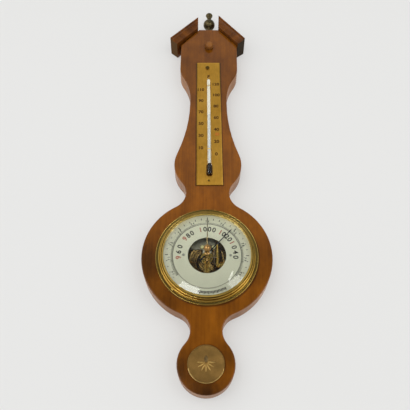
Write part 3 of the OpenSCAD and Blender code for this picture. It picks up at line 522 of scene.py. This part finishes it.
old_brass = metal("finial_brass", (0.24, 0.175, 0.075, 1.0), (0.085, 0.070, 0.035, 1.0), patch=150.0,
                  cover=(0.22, 0.58), rough=(0.30, 0.52), depth=0.00004)
board_top = on_face(0, 329, -10)
finial_h = (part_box("finial")[1].z - board_top.z) / MM
finial_foot_r = 5.2
stem_r = 2.2
ball_r = 7.8
neck_r = 2.4
ball_y = finial_h / 2
ball_lift = math.sqrt(ball_r ** 2 - neck_r ** 2)
ball_start = math.degrees(math.asin(neck_r / ball_r)) - 90
urn_y = ball_y + ball_lift
urn_r = 4.7
urn_foot_h = 1.6
cap_h = 2.2
cup_h = finial_h - urn_y - urn_foot_h - cap_h - 0.2
finial_profile = (
    [(0, 0)] + arc_points((finial_foot_r, 0.4), 0.4, -90, 0, 4)
    + arc_points((finial_foot_r, 1.0), 0.4, 0, 80, 4)
    + [(4.2, 2.4), (3.3, 2.9), (2.6, 3.7), (2.25, 4.8), (stem_r, 6.0), (stem_r, ball_y - ball_lift - 1)]
    + arc_points((0, ball_y), ball_r, ball_start, -ball_start, 32)
    + [(2.85, urn_y + 0.3), (3.0, urn_y + 0.6), (2.8, urn_y + 1.0), (neck_r, urn_y + urn_foot_h)]
    + [(neck_r + (urn_r - neck_r) * (1 - math.cos(math.pi / 2 * k / 10)), urn_y + urn_foot_h + cup_h * k / 10)
       for k in range(1, 11)]
    + arc_points((urn_r - 0.2, finial_h - cap_h - 0.05), 0.25, -60, 60, 4)
    + [(urn_r * math.cos(math.pi / 2 * k / 10), finial_h - cap_h * (1 - math.sin(math.pi / 2 * k / 10)))
       for k in range(1, 10)]
    + [(0, finial_h)])
finial = turned("finial_turned", finial_profile, old_brass, steps=96,
                seat=lambda x, y, height: board_top + Vector((x, y, height)) * MM)
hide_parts("finial")

button_dark = (0.17, 0.060, 0.012, 1.0)
button_light = (0.27, 0.110, 0.024, 1.0)
button_finish = varnished_wood("button_varnish", button_dark, button_light, coat=0.3, coat_rough=0.25)
button_y = 296
button_r = 5.4
button_side = 2.6
button_dome = 4.4
button_profile = [(0, 0), (button_r - 0.5, 0), (button_r, 0.6), (button_r, button_side)]
button_profile += [(button_r * math.cos(math.radians(a)) ** 0.7,
                    button_side + button_dome * math.sin(math.radians(a)) ** 0.7) for a in range(3, 90, 3)]
button = turned("button_turned", button_profile + [(0, button_side + button_dome)], button_finish,
                centre=(0, button_y), steps=96)
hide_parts("top_button")

# Hanging plate
# A brass keyhole plate is let into the back of the board near its top and held by two countersunk screws.
# The nail's head goes in at the round hole, and its shank slides up the slot.
aged_brass = metal("aged_brass", (0.36, 0.245, 0.09, 1.0), (0.13, 0.10, 0.04, 1.0), patch=110.0,
                   cover=(0.25, 0.6), rough=(0.26, 0.46), depth=0.00003)
node_dress("hanging_plate", aged_brass)
node_dress("hanging_screws", aged_brass)

# Foot disc
# A thin brass disc is pinned to the foot. It is pressed with a rim and a palmette, and the ground between
# the petals and the bud has gone brown. The petals and the lower part of the rim are partly rubbed bright
# and partly painted light, and the bud is painted dark as shade.
disc_y = -107
disc_r = 17.2
disc_t = 0.5
# Width and reach of the painted highlight on the lower part of the rim.
lit_rim_w = 0.75
lit_below = -0.25 * disc_r
petal_count = 7
petal_l = disc_r * 0.45
petal_w = petal_l * 0.22
palmette_y = disc_y + 1.4
bud_y = disc_y + 4.4
petal_lens_r = (petal_l ** 2 / 4 + petal_w ** 2 / 4) / petal_w
petal_rise = 0.45
petal_crown = 0.62
bud_l = 6.4
bud_lens_r = 3.8
bud_half_w = 1.8
disc_ground = metal("disc_ground", (0.27, 0.155, 0.045, 1.0), (0.19, 0.11, 0.032, 1.0), patch=90.0,
                    rough=(0.50, 0.62), marks=1500.0)
# Bright brass, partly rubbed and partly painted highlight, for the petals and the lower rim.
disc_rubbed_and_lit = metal("disc_rubbed_and_lit", (0.60, 0.40, 0.13, 1.0), (0.36, 0.23, 0.07, 1.0), patch=140.0,
                    cover=(0.4, 0.75), rough=(0.26, 0.4))
disc_profile = (
    [(0, 0), (disc_r, 0)] + arc_points((disc_r - 0.45, 0.45), 0.45, 0, 90, 5)
    + arc_points((disc_r - 0.65, 0.55), 0.35, 90, 175, 5) + [(disc_r - 1.25, disc_t), (0, disc_t)])
disc = turned("foot_disc_pressed", disc_profile, disc_ground, centre=(0, disc_y), steps=128, angle=50.0)
disc.data.materials.append(disc_rubbed_and_lit)
# Only the lower part of the rim gets the bright brass, as a painted highlight.
for face in disc.data.polygons:
    middle = face.center
    above = middle.z - dial_z - disc_y * MM
    on_rim = math.hypot(middle.x, above) / MM > disc_r - lit_rim_w and middle.y < face_y - 0.1 * MM
    if on_rim and above < lit_below * MM:
        face.material_index = 1
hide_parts("foot_disc")


def pressed_petal(mesh, x, y, turn, long, lens_r, half_w):
    """A pointed petal on the face, rounded across and crowned along its middle line."""
    rows = 14
    across = 6
    c, s = math.cos(math.radians(turn)), math.sin(math.radians(turn))
    grid = []
    for i in range(rows + 1):
        u = -long / 2 + long * i / rows
        half = max(math.sqrt(max(lens_r ** 2 - u ** 2, 0)) - lens_r + half_w, 0.01)
        row = []
        for j in range(across + 1):
            v = -1 + 2 * j / across
            px, py = u, half * v
            h = petal_rise + petal_crown * (1 - v * v) * math.sqrt(max(1 - (2 * u / long) ** 2, 0.0))
            row.append(mesh.verts.new(on_face(x + c * px - s * py, y + s * px + c * py, h)))
        grid.append(row)
    for low, high in zip(grid, grid[1:]):
        for j in range(across):
            mesh.faces.new((low[j], low[j + 1], high[j + 1], high[j]))


palmette_mesh = bmesh.new()
for k in range(petal_count):
    a = -180 + 180 * k / (petal_count - 1)
    reach = petal_l / 2 + 1
    petal_x, petal_y = reach * math.cos(math.radians(a)), palmette_y + reach * math.sin(math.radians(a))
    pressed_petal(palmette_mesh, petal_x, petal_y, a, petal_l, petal_lens_r, petal_w / 2)
bmesh.ops.recalc_face_normals(palmette_mesh, faces=palmette_mesh.faces)
palmette = finish_mesh("palmette", palmette_mesh, disc_rubbed_and_lit, angle=60.0)
bud_mesh = bmesh.new()
pressed_petal(bud_mesh, 0, bud_y, 90, bud_l, bud_lens_r, bud_half_w)
bmesh.ops.recalc_face_normals(bud_mesh, faces=bud_mesh.faces)
# The bud is painted darker than the petals, as shade.
bud_shaded_brass = metal("bud_shaded_brass", (0.20, 0.13, 0.05, 1.0), (0.10, 0.065, 0.028, 1.0), patch=200.0,
                  rough=(0.3, 0.45))
bud = finish_mesh("palmette_bud", bud_mesh, bud_shaded_brass, angle=60.0)

# Thermometer
# The scale plate is brass with printed figures, screwed and nailed to the board a little out of true. Its
# edges carry painted shade and highlights, and a painted shadow line runs round it on the board. A glass
# tube with a white enamel back lies on it under two wire staples, and its bulb, whose metal is painted
# nearly black as a dark reflection, hangs in a slot.
plate_mid = -0.5
plate_pivot_y = 258.0
plate_lean = math.radians(0.85)
plate_half_w = 14.75
plate_half_l = 91.75
plate_top_y = 267


def on_plate(x, y, h):
    """A place in the frame of the leaning plate, in mm as on_face takes it."""
    c, s = math.cos(plate_lean), math.sin(plate_lean)
    above = y - plate_pivot_y
    return on_face(plate_mid + x * c - above * s, plate_pivot_y + x * s + above * c, h)


plate_brass = metal("plate_brass", (0.70, 0.390, 0.060, 1.0), (0.56, 0.295, 0.040, 1.0), patch=45.0,
                    rough=(0.36, 0.50), marks=160.0, stretch=(9.0, 9.0, 1.0))


def retone(material, factor):
    """Multiplies the colour of a finished material by a factor."""
    tree = material.node_tree
    body = next(node for node in tree.nodes if node.type == "BSDF_PRINCIPLED")
    tone = body.inputs["Base Color"].links[0].from_socket
    tree.links.new(darken(tree, tone, factor), body.inputs["Base Color"])


def across_and_along(tree):
    """Metres across and along the leaning plate from its middle, a little ragged."""
    place = own_place(tree)
    off = off_centre(tree, place, on_plate(0, plate_top_y - plate_half_l, 0))
    flat = add(tree, "ShaderNodeVectorRotate", {"Vector": off, "Angle": plate_lean}, rotation_type="Y_AXIS")
    parts = add(tree, "ShaderNodeSeparateXYZ", {"Vector": flat.outputs[0]}).outputs
    ragged = work_out(tree, "MULTIPLY_ADD", noise(tree, place, 260.0, 3.0), 0.0008, -0.0004)
    return work_out(tree, "ADD", parts["X"], ragged), work_out(tree, "ADD", parts["Z"], ragged)


# Widths of the painted shade and highlights along the plate's edges.
left_shade_w = 1.4
right_light_and_shade_w = 1.3
top_highlight_h = 1.3
foot_highlight_h = 22


def worn_edges(material):
    """Paints shade along the plate's left edge and the upper part of its right edge, and paints highlights
    along its top edge, the lower part of its right edge and its foot.
    """
    tree = material.node_tree
    x, z = across_and_along(tree)
    left = spread(tree, x, -plate_half_w * MM, (-plate_half_w + left_shade_w) * MM, 0.34, 1.0)
    upper = spread(tree, z, 0.0, 0.05)
    right_far = spread(tree, x, (plate_half_w - right_light_and_shade_w) * MM, plate_half_w * MM)
    right_tone = work_out(tree, "MULTIPLY_ADD", upper, -1.05, 0.45)
    right = work_out(tree, "MULTIPLY_ADD", right_far, right_tone, 1.0)
    top = spread(tree, z, (plate_half_l - top_highlight_h) * MM, plate_half_l * MM, 1.0, 1.35)
    foot = spread(tree, z, -plate_half_l * MM, (-plate_half_l + foot_highlight_h) * MM, 1.16, 1.0)
    factor = left
    for more in (right, top, foot):
        factor = work_out(tree, "MULTIPLY", factor, more)
    retone(material, factor)


def grime_line(material):
    """Paints a thin shadow line on the varnish round the plate."""
    tree = material.node_tree
    x, z = across_and_along(tree)
    off_x = work_out(tree, "SUBTRACT", work_out(tree, "ABSOLUTE", x, 0.0), plate_half_w * MM)
    off_z = work_out(tree, "SUBTRACT", work_out(tree, "ABSOLUTE", z, 0.0), plate_half_l * MM)
    near = spread(tree, work_out(tree, "MAXIMUM", off_x, off_z), 0.0005, 0.0015, 0.42, 1.0)
    retone(material, front_only(tree, near))


# Painted shade and highlights on the plate's edges.
worn_edges(plate_brass)
# A painted shadow line on the board round the plate.
grime_line(case_finish)
node_dress("thermometer_plate", plate_brass)
works_brass = metal("works_brass", (0.74, 0.52, 0.12, 1.0), (0.46, 0.31, 0.055, 1.0), patch=160.0,
                    rough=(0.16, 0.30), dust=0.6, depth=0.000008)
node_dress("tube_staples", works_brass)
dark_screw = metal("dark_screw", (0.20, 0.125, 0.025, 1.0), (0.13, 0.082, 0.018, 1.0), patch=300.0,
                   rough=(0.35, 0.5))
node_dress("plate_screw", dark_screw)
node_dress("plate_nail", dark_screw)


def clear_glass(name):
    """Polished glass that lets the lamps' light through."""
    material, tree = blank(name)
    place = own_place(tree)
    smear = spread(tree, noise(tree, place, 35.0, 3.0), 0.3, 0.75, 0.0, 0.004)
    body = add(tree, "ShaderNodeBsdfPrincipled", {"Base Color": (0.985, 0.99, 0.985, 1.0), "Roughness": smear,
               "Transmission Weight": 1.0, "IOR": 1.46})
    clear = add(tree, "ShaderNodeBsdfTransparent", {"Color": (0.95, 0.96, 0.95, 1.0)})
    path = add(tree, "ShaderNodeLightPath").outputs
    soft = work_out(tree, "MAXIMUM", path["Is Shadow Ray"], path["Is Diffuse Ray"])
    return ended(material, mix_shaders(tree, soft, body, clear))


glass_finish = clear_glass("clear_glass")
tube_h = 3.05
tube_r = 2.0
tube_high = 238.5
bulb_r = 2.9
bulb_low = 95.5
bulb_shoulder = 105.5
tube_profile = (
    [(0, bulb_low)]
    + [(bulb_r * math.sin(math.radians(a)), bulb_low + bulb_r - bulb_r * math.cos(math.radians(a)))
       for a in range(10, 91, 10)]
    + [(tube_r + (bulb_r - tube_r) * (1 + math.cos(math.radians(18 * k))) / 2, bulb_shoulder + 0.6 * k)
       for k in range(11)]
    + [(tube_r, tube_high - 1.2), (tube_r - 0.3, tube_high - 0.5), (tube_r - 0.9, tube_high - 0.1),
       (0, tube_high)])
tube = turned("tube_drawn", tube_profile, glass_finish, steps=48,
              seat=lambda x, y, height: on_plate(x, height, tube_h + y))
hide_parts("thermometer_tube")

bulb_metal_top = 110.0


def thread_metal(name):
    """The liquid metal in the tube: silvery in the bore, and painted nearly black in the bulb as a dark
    reflection.
    """
    material, tree = blank(name)
    place = own_place(tree)
    height = add(tree, "ShaderNodeSeparateXYZ", {"Vector": place}).outputs["Z"]
    bulb_top = on_face(0, bulb_metal_top, 0).z
    thread = spread(tree, height, bulb_top, bulb_top + 1.0 * MM)
    cloud = noise(tree, place, 60.0, 3.0)
    silvery = blend_tones(tree, cloud, (0.78, 0.83, 0.87, 1.0), (0.74, 0.79, 0.84, 1.0))
    # Painted reflection: the metal in the bulb is nearly black, the thread above it silvery.
    tone = blend_tones(tree, thread, (0.007, 0.005, 0.005, 1.0), silvery)
    surface = spread(tree, cloud, 0.3, 0.7, 0.16, 0.24)
    metallic = work_out(tree, "MULTIPLY", thread, 0.3)
    body = add(tree, "ShaderNodeBsdfPrincipled", {"Base Color": tone, "Metallic": metallic,
               "Roughness": surface, "Specular IOR Level": 0.1})
    return ended(material, body)


node_dress("thermometer_liquid", thread_metal("liquid_metal"))


def white_enamel(name):
    """Opaque milky enamel, faintly yellow and clouded."""
    material, tree = blank(name)
    place = own_place(tree)
    milk = blend_tones(tree, noise(tree, place, 60.0, 3.0), (0.86, 0.82, 0.68, 1.0), (0.80, 0.77, 0.65, 1.0))
    gloss = spread(tree, noise(tree, place, 900.0), 0.3, 0.7, 0.18, 0.32)
    body = add(tree, "ShaderNodeBsdfPrincipled", {"Base Color": milk, "Roughness": gloss})
    return ended(material, body)


enamel_r = 1.75
enamel_t = 0.35
enamel_low = 111.0
enamel_high = 236.2
enamel_section = arc_points((0, tube_h), enamel_r, 180, 360, 16)
enamel_section += arc_points((0, tube_h), enamel_r - enamel_t, 360, 180, 16)
enamel_mesh = bmesh.new()
enamel_rows = []
for y in (enamel_low, (enamel_low + enamel_high) / 2, enamel_high):
    enamel_rows.append([enamel_mesh.verts.new(on_plate(x, y, h)) for x, h in enamel_section])
for low, high in zip(enamel_rows, enamel_rows[1:]):
    for k in range(len(low)):
        n = (k + 1) % len(low)
        enamel_mesh.faces.new((low[k], low[n], high[n], high[k]))
for row in (enamel_rows[0], enamel_rows[-1]):
    enamel_mesh.faces.new(row)
bmesh.ops.recalc_face_normals(enamel_mesh, faces=enamel_mesh.faces)
enamel = finish_mesh("tube_enamel", enamel_mesh, white_enamel("tube_enamel"))


def plain_print(name, tone):
    """Printing ink, a little uneven."""
    material, tree = blank(name)
    place = own_place(tree)
    faint = tuple(1.6 * c for c in tone[:3]) + (1.0,)
    ink = blend_tones(tree, spread(tree, noise(tree, place, 1800.0), 0.45, 0.75), tone, faint)
    body = add(tree, "ShaderNodeBsdfPrincipled", {"Base Color": ink, "Roughness": 0.7,
               "Specular IOR Level": 0.1})
    return ended(material, body)


brown_ink = plain_print("brown_ink", (0.060, 0.024, 0.004, 1.0))
orange_ink = plain_print("orange_ink", (0.42, 0.12, 0.02, 1.0))


def letter_faces(words, size, bold, lean=0.0):
    """Flat faces of printed figures, centred on the origin, as lists of points in mm."""
    curve = bpy.data.curves.new("figures", "FONT")
    curve.body, curve.size, curve.offset, curve.shear = words, size, bold, lean
    curve.resolution_u = 4
    holder = placed("figures", curve)
    made = holder.evaluated_get(bpy.context.evaluated_depsgraph_get())
    mesh = made.to_mesh()
    xs = [vertex.co.x for vertex in mesh.vertices]
    ys = [vertex.co.y for vertex in mesh.vertices]
    middle_x, middle_y = (min(xs) + max(xs)) / 2, (min(ys) + max(ys)) / 2
    found = [[(mesh.vertices[i].co.x - middle_x, mesh.vertices[i].co.y - middle_y) for i in face.vertices]
             for face in mesh.polygons]
    made.to_mesh_clear()
    bpy.data.objects.remove(holder)
    bpy.data.curves.remove(curve)
    return found


def printed(name, shapes, material, h, seat=on_face):
    """One piece of printing: flat shapes, each a list of points in mm, laid at a height over a seat."""
    mesh = bmesh.new()
    for shape in shapes:
        mesh.faces.new([mesh.verts.new(seat(x, y, h)) for x, y in shape])
    made = finish_mesh(name, mesh, material)
    for face in made.data.polygons:
        face.use_smooth = False
    return made


def moved(shapes, x, y, turn=0.0):
    """Shapes turned clockwise by degrees and moved to a place."""
    c, s = math.cos(math.radians(-turn)), math.sin(math.radians(-turn))
    return [[(x + c * px - s * py, y + s * px + c * py) for px, py in shape] for shape in shapes]


zero_y = 124.9
degree_step = 0.8815


def on_scale(degrees):
    """Height on the plate of a temperature."""
    return zero_y + degree_step * degrees


plate_face = 1.02
figure_size = 6.0
figure_bold = 0.22
right_x = {0: 8.2, 120: 9.2, 100: 9.5}
usual_right_x = 8.7
left_x = -9.4
left_drop = 0.2
unit_x, unit_y = 0.3, 243.4
frost_x = 9.6
scale_shapes = []
for degrees in range(0, 130, 20):
    figures = letter_faces(str(degrees), figure_size, figure_bold)
    scale_shapes += moved(figures, right_x.get(degrees, usual_right_x), on_scale(degrees))
for degrees in range(10, 120, 20):
    figures = letter_faces(str(degrees), figure_size, figure_bold)
    scale_shapes += moved(figures, left_x, on_scale(degrees) - left_drop)
scale_shapes += moved(letter_faces("F", 6.6, 0.26, 0.12), unit_x, unit_y)
printed("scale_figures", scale_shapes, brown_ink, plate_face, on_plate)
frost_shapes = moved(letter_faces("32", 5.4, 0.16), frost_x, on_scale(32))
printed("frost_figure", frost_shapes, orange_ink, plate_face, on_plate)

# Bezel
# The bezel is spun from brass: a rolled edge, a flat flange with three pins, two beads and an upright lip
# over the glass. Its lacquer has gone olive in the hollows.
bezel_brass = metal("bezel_brass", (0.62, 0.44, 0.125, 1.0), (0.46, 0.305, 0.066, 1.0), patch=45.0,
                    cover=(0.25, 0.60), rough=(0.07, 0.14), marks=2200.0, depth=0.000002,
                    turned_at=on_face(0, 0, 0))
sight_r = 44.3
lip_under = 5.95
bezel_h = 7.6
pan_in_r = 46.5
pan_lip_r = 49.47
flange_t = 1.1
seat_h = 0.85
bezel_r = (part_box("bezel")[1].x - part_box("bezel")[0].x) / 2 / MM
bezel_profile = (
    [(sight_r, lip_under)] + arc_points((sight_r + 0.45, bezel_h - 0.45), 0.45, 180, 50, 8)
    + arc_points((pan_in_r + 0.55, 4.3), 0.75, 130, -20, 14) + [(pan_in_r + 1.15, 3.2)]
    + arc_points((pan_lip_r - 0.75, 2.35), 0.8, 165, -10, 14)
    + [(pan_lip_r + 0.1, flange_t + 0.2), (pan_lip_r + 0.3, flange_t), (bezel_r - 0.76, flange_t)]
    + arc_points((bezel_r - 0.4, 0.85), 0.4, 140, 0, 8)
    + [(bezel_r, 0.02), (pan_lip_r + 0.2, 0.02), (pan_lip_r + 0.2, seat_h), (pan_in_r, seat_h),
       (pan_in_r, lip_under), (sight_r, lip_under)])
bezel = turned("bezel_spun", bezel_profile, bezel_brass, steps=256, angle=45.0)
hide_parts("bezel")
node_dress("bezel_pins", dark_screw)

# Glass
# A flat glass with a bevelled border lies on a brass ring under the bezel's lip. The knob's stem passes
# through a hole in its middle.
node_dress("glass_ring", works_brass)
glass_r = 46.2
ring_top = 4.6
glass_top = 7.2
glass_edge = 5.9
glass_bevel_w = 6.4
stem_hole_r = 1.25
glass_profile = [
    (stem_hole_r, ring_top), (glass_r, ring_top), (glass_r, glass_edge), (sight_r - 0.1, glass_edge),
    (sight_r - 0.1 - glass_bevel_w, glass_top), (stem_hole_r, glass_top), (stem_hole_r, ring_top)]
glass = turned("glass_bevelled", glass_profile, glass_finish, steps=256, angle=5.0)
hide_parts("glass")

# Dial
# The dial is a silvered brass disc with a hole in the middle, through which the works show. It is printed in
# black and red, and two small screws hold it on its pillars.


def silvered(name):
    """Silvered brass with fine marks, a little clouded, with painted light making it paler towards the top."""
    material, tree = blank(name)
    place = own_place(tree)
    cloud = noise(tree, place, 55.0, 4.0)
    fine = noise(tree, place, 2600.0)
    clouded = spread(tree, cloud, 0.3, 0.7)
    tone = blend_tones(tree, clouded, (0.66, 0.665, 0.50, 1.0), (0.60, 0.605, 0.455, 1.0))
    height = add(tree, "ShaderNodeSeparateXYZ", {"Vector": place}).outputs["Z"]
    # Painted light: the tone runs from darker at the bottom to paler at the top.
    tone = darken(tree, tone, spread(tree, height, dial_z - 34 * MM, dial_z + 38 * MM, 0.92, 1.18))
    rough = spread(tree, fine, 0.3, 0.7, 0.27, 0.34)
    body = add(tree, "ShaderNodeBsdfPrincipled", {"Base Color": tone, "Roughness": rough, "Metallic": 0.35,
               "Normal": bumps(tree, fine, 0.3, 0.00001)})
    return ended(material, body)


node_dress("dial", silvered("silvered_dial"))


def ray_mark(angle, r0, r1, width):
    """A printed line on a ray; the angle runs clockwise from the top."""
    a = math.radians(angle)
    d = Vector((math.sin(a), math.cos(a)))
    n = Vector((d.y, -d.x)) * width / 2
    return [tuple(d * r0 + n), tuple(d * r1 + n), tuple(d * r1 - n), tuple(d * r0 - n)]


def ring_shapes(radius, width):
    """A printed circle as a row of short faces."""
    steps = 180
    found = []
    inner, outer = radius - width / 2, radius + width / 2
    for k in range(steps):
        a0, a1 = 2 * math.pi * k / steps, 2 * math.pi * (k + 1) / steps
        found.append([(r * math.sin(a), r * math.cos(a))
                      for r, a in ((inner, a0), (outer, a0), (outer, a1), (inner, a1))])
    return found


def round_figures(words, angles, radius, size, bold):
    """Figures set upright round the dial, one at each angle. Gives one list of shapes for each figure."""
    found = []
    for figure, angle in zip(words, angles):
        x, y = radius * math.sin(math.radians(angle)), radius * math.cos(math.radians(angle))
        found.append(moved(letter_faces(figure, size, bold), x, y, angle))
    return found


black_ink = plain_print("black_ink", (0.030, 0.026, 0.022, 1.0))
red_ink = plain_print("red_ink", (0.34, 0.115, 0.075, 1.0))
ring_r, ring_w = 35.0, 0.38
scale_half = 126.0
tick_end, tick_w = 37.0, 0.36
tenth_tick_end, tenth_tick_w = 37.4, 0.52
side_extra_w = 0.22
black_shapes = ring_shapes(ring_r, ring_w)
for k in range(141):
    angle = -scale_half + 2 * scale_half * k / 140
    end, width = (tenth_tick_end, tenth_tick_w) if k % 14 == 0 else (tick_end, tick_w)
    heavy = side_extra_w * abs(math.sin(math.radians(angle)))
    black_shapes.append(ray_mark(angle, ring_r, end, heavy + width))
outer_mark = (40.0, 41.3, 0.70)
main_outer_mark = (39.2, 42.2, 0.85)
for k in range(29):
    angle = -scale_half + 9 * k
    black_shapes.append(ray_mark(angle, *(main_outer_mark if round(angle) % 45 == 0 else outer_mark)))
small_first = 70
small_r = 38.4
small_size, small_bold = 2.6, 0.14
small_apart = 1.8
for k in range(11):
    middle = -scale_half * 20 / 21 + scale_half * 40 / 21 * k / 10
    angles = (middle - small_apart, middle + small_apart)
    for shapes in round_figures(str(small_first + k), angles, small_r, small_size, small_bold):
        black_shapes += shapes
large_r = 29.3
large_size, large_bold = 7.4, 0.2
large_figures = (("960", (-96, -84, -72)), ("980", (-52, -42.5, -33)), ("1000", (-14, -4.7, 4.7, 14)),
                 ("1020", (28, 36.2, 44.4, 52.6)), ("1040", (61, 72, 83, 94)))
red_shapes = []
for words, angles in large_figures:
    figures = round_figures(words, angles, large_r, large_size, large_bold)
    red_shapes += figures[0]
    for shapes in figures[1:]:
        black_shapes += shapes
border_start = 152
border_step = 2.1
border_in, border_out, border_third_out = 37.4, 39.8, 40.4
border_w = 1.02
for k in range(20):
    end = border_out if k % 3 else border_third_out
    black_shapes.append(ray_mark(border_start + border_step * k, border_in, end, border_w))
print_h = 0.012
printed("dial_printing_black", black_shapes, black_ink, print_h)
printed("dial_printing_red", red_shapes, red_ink, print_h)
pale_screw = metal("dial_screw_silver", (0.38, 0.39, 0.33, 1.0), (0.28, 0.28, 0.24, 1.0), patch=150.0,
                   rough=(0.3, 0.45))
node_dress("dial_screws", pale_screw)

# Movement
# A steel drum holds the base plate, the corrugated capsule and the bent leaf spring, with the lever, the
# rocking shaft, the chain and the arbor over them. All of it is seen through the hole in the dial.
steel = metal("steel", (0.46, 0.44, 0.36, 1.0), (0.28, 0.26, 0.20, 1.0), patch=150.0, rough=(0.22, 0.4),
              dust=0.5)
pan_steel = metal("pan_steel", (0.14, 0.14, 0.14, 1.0), (0.08, 0.075, 0.07, 1.0), rough=(0.4, 0.6), dust=0.4)
spring_steel = metal("spring_steel", (0.52, 0.50, 0.38, 1.0), (0.30, 0.29, 0.20, 1.0), patch=90.0,
                     rough=(0.28, 0.45), marks=500.0, stretch=(12.0, 1.0, 1.0), dust=0.8)
capsule_low, capsule_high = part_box("capsule")
capsule_metal = metal("capsule_metal", (0.40, 0.27, 0.09, 1.0), (0.17, 0.11, 0.03, 1.0), patch=120.0,
                      rough=(0.06, 0.14), marks=1900.0, depth=0.000004,
                      turned_at=(capsule_low + capsule_high) / 2, dust=0.5)
blued_steel = metal("blued_steel", (0.035, 0.036, 0.045, 1.0), (0.03, 0.03, 0.03, 1.0), rough=(0.2, 0.35))
dark_lever = metal("lever_steel", (0.20, 0.15, 0.08, 1.0), (0.10, 0.075, 0.04, 1.0), patch=140.0,
                   rough=(0.3, 0.45))
lever_screw_brass = metal("lever_screw_brass", (0.95, 0.93, 0.50, 1.0), (0.75, 0.72, 0.34, 1.0),
                          rough=(0.25, 0.4))
node_dress("movement_pan", pan_steel)
for name in ("base_plate", "dial_pillars", "rocking_shaft", "rocking_frame",
             "frame_pillars", "bridge_pillars", "lower_plate", "bridge_spacers", "upper_cock"):
    node_dress(name, works_brass)
node_dress("main_lever", dark_lever)
for name in ("movement_screws", "spring_screws", "frame_screws", "cock_screws", "hand_arbor"):
    node_dress(name, steel)
node_dress("capsule", capsule_metal)
node_dress("lever_screws", lever_screw_brass)
node_dress("hairspring", blued_steel)
node_dress("adjusting_screw", aged_brass)

# Spring, post and chain
# The leaf spring is a strip of steel bent into a C. Its foot is screwed down and its free limb rises and
# falls with the lever, and takes the capsule's post along. The chain is drawn out by the rocking shaft's arm.


def copied(name, node, material):
    """A loose copy of a CAD node, with the node itself hidden."""
    mesh = frame["nodes"][node].data.copy()
    mesh.name = name
    part = placed(name, mesh)
    dress(part, material)
    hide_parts(node)
    return part


spring_low, spring_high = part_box("main_spring")
leaf = copied("spring_leaf", "main_spring", spring_steel)
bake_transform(leaf)
post_flatter = 0.5
post = copied("post_on_leaf", "capsule_post", works_brass)
for vertex in post.data.vertices:
    if vertex.co.y < spring_low.y:
        vertex.co.y = spring_low.y + (vertex.co.y - spring_low.y) * post_flatter
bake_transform(post)
chain = copied("chain_drawn", "chain", steel)
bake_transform(chain)

# Hands and knob
# The pressure hand is blued steel, pressed on the arbor. The set hand is brass and is turned by a turned brass
# knob, whose stem passes through the glass.
node_dress("pressure_hand", blued_steel)
knob_brass = metal("hand_brass", (0.60, 0.37, 0.14, 1.0), (0.36, 0.20, 0.07, 1.0), patch=120.0,
                   rough=(0.05, 0.12))
set_hand_brass = metal("set_hand_brass", (0.78, 0.60, 0.28, 1.0), (0.60, 0.44, 0.18, 1.0), patch=120.0,
                       rough=(0.2, 0.3))


def darkened_tip(material, centre, bright_r, dark_r, share):
    """Paints a hand darker beyond a radius in mm from its centre, as a painted dark reflection."""
    tree = material.node_tree
    far = length(tree, mapped(tree, off_centre(tree, own_place(tree), centre), (1.0, 0.0, 1.0)))
    retone(material, spread(tree, far, bright_r * MM, dark_r * MM, 1.0, share))


# The set hand is painted dark beyond 20 mm as a reflection, and stays pale near the hub.
darkened_tip(set_hand_brass, on_face(0, 0, 0), 20.0, 26.0, 0.30)
node_dress("set_hand", set_hand_brass)
knob_r = 3.65
knob_mid = 18.5
collar = glass_top + 0.1
knob_neck_r = 1.3
knob_stem_r = 1.19
knob_foot = collar - 2.6
knob_start = math.degrees(math.asin(knob_neck_r / knob_r)) - 90
knob_profile = (
    [(0, knob_foot), (knob_stem_r, knob_foot), (knob_stem_r, collar)]
    + arc_points((2.4, collar + 0.2), 0.2, -90, 0, 4) + arc_points((2.4, collar + 0.5), 0.2, 0, 70, 4)
    + [(1.95, collar + 0.95), (1.6, collar + 1.35), (1.4, collar + 1.9), (knob_neck_r, collar + 2.5)]
    + arc_points((0, knob_mid), knob_r, knob_start, 88, 30) + [(0, knob_mid + knob_r)])
knob = turned("knob_turned", knob_profile, knob_brass, body="setter", steps=72)
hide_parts("set_knob")
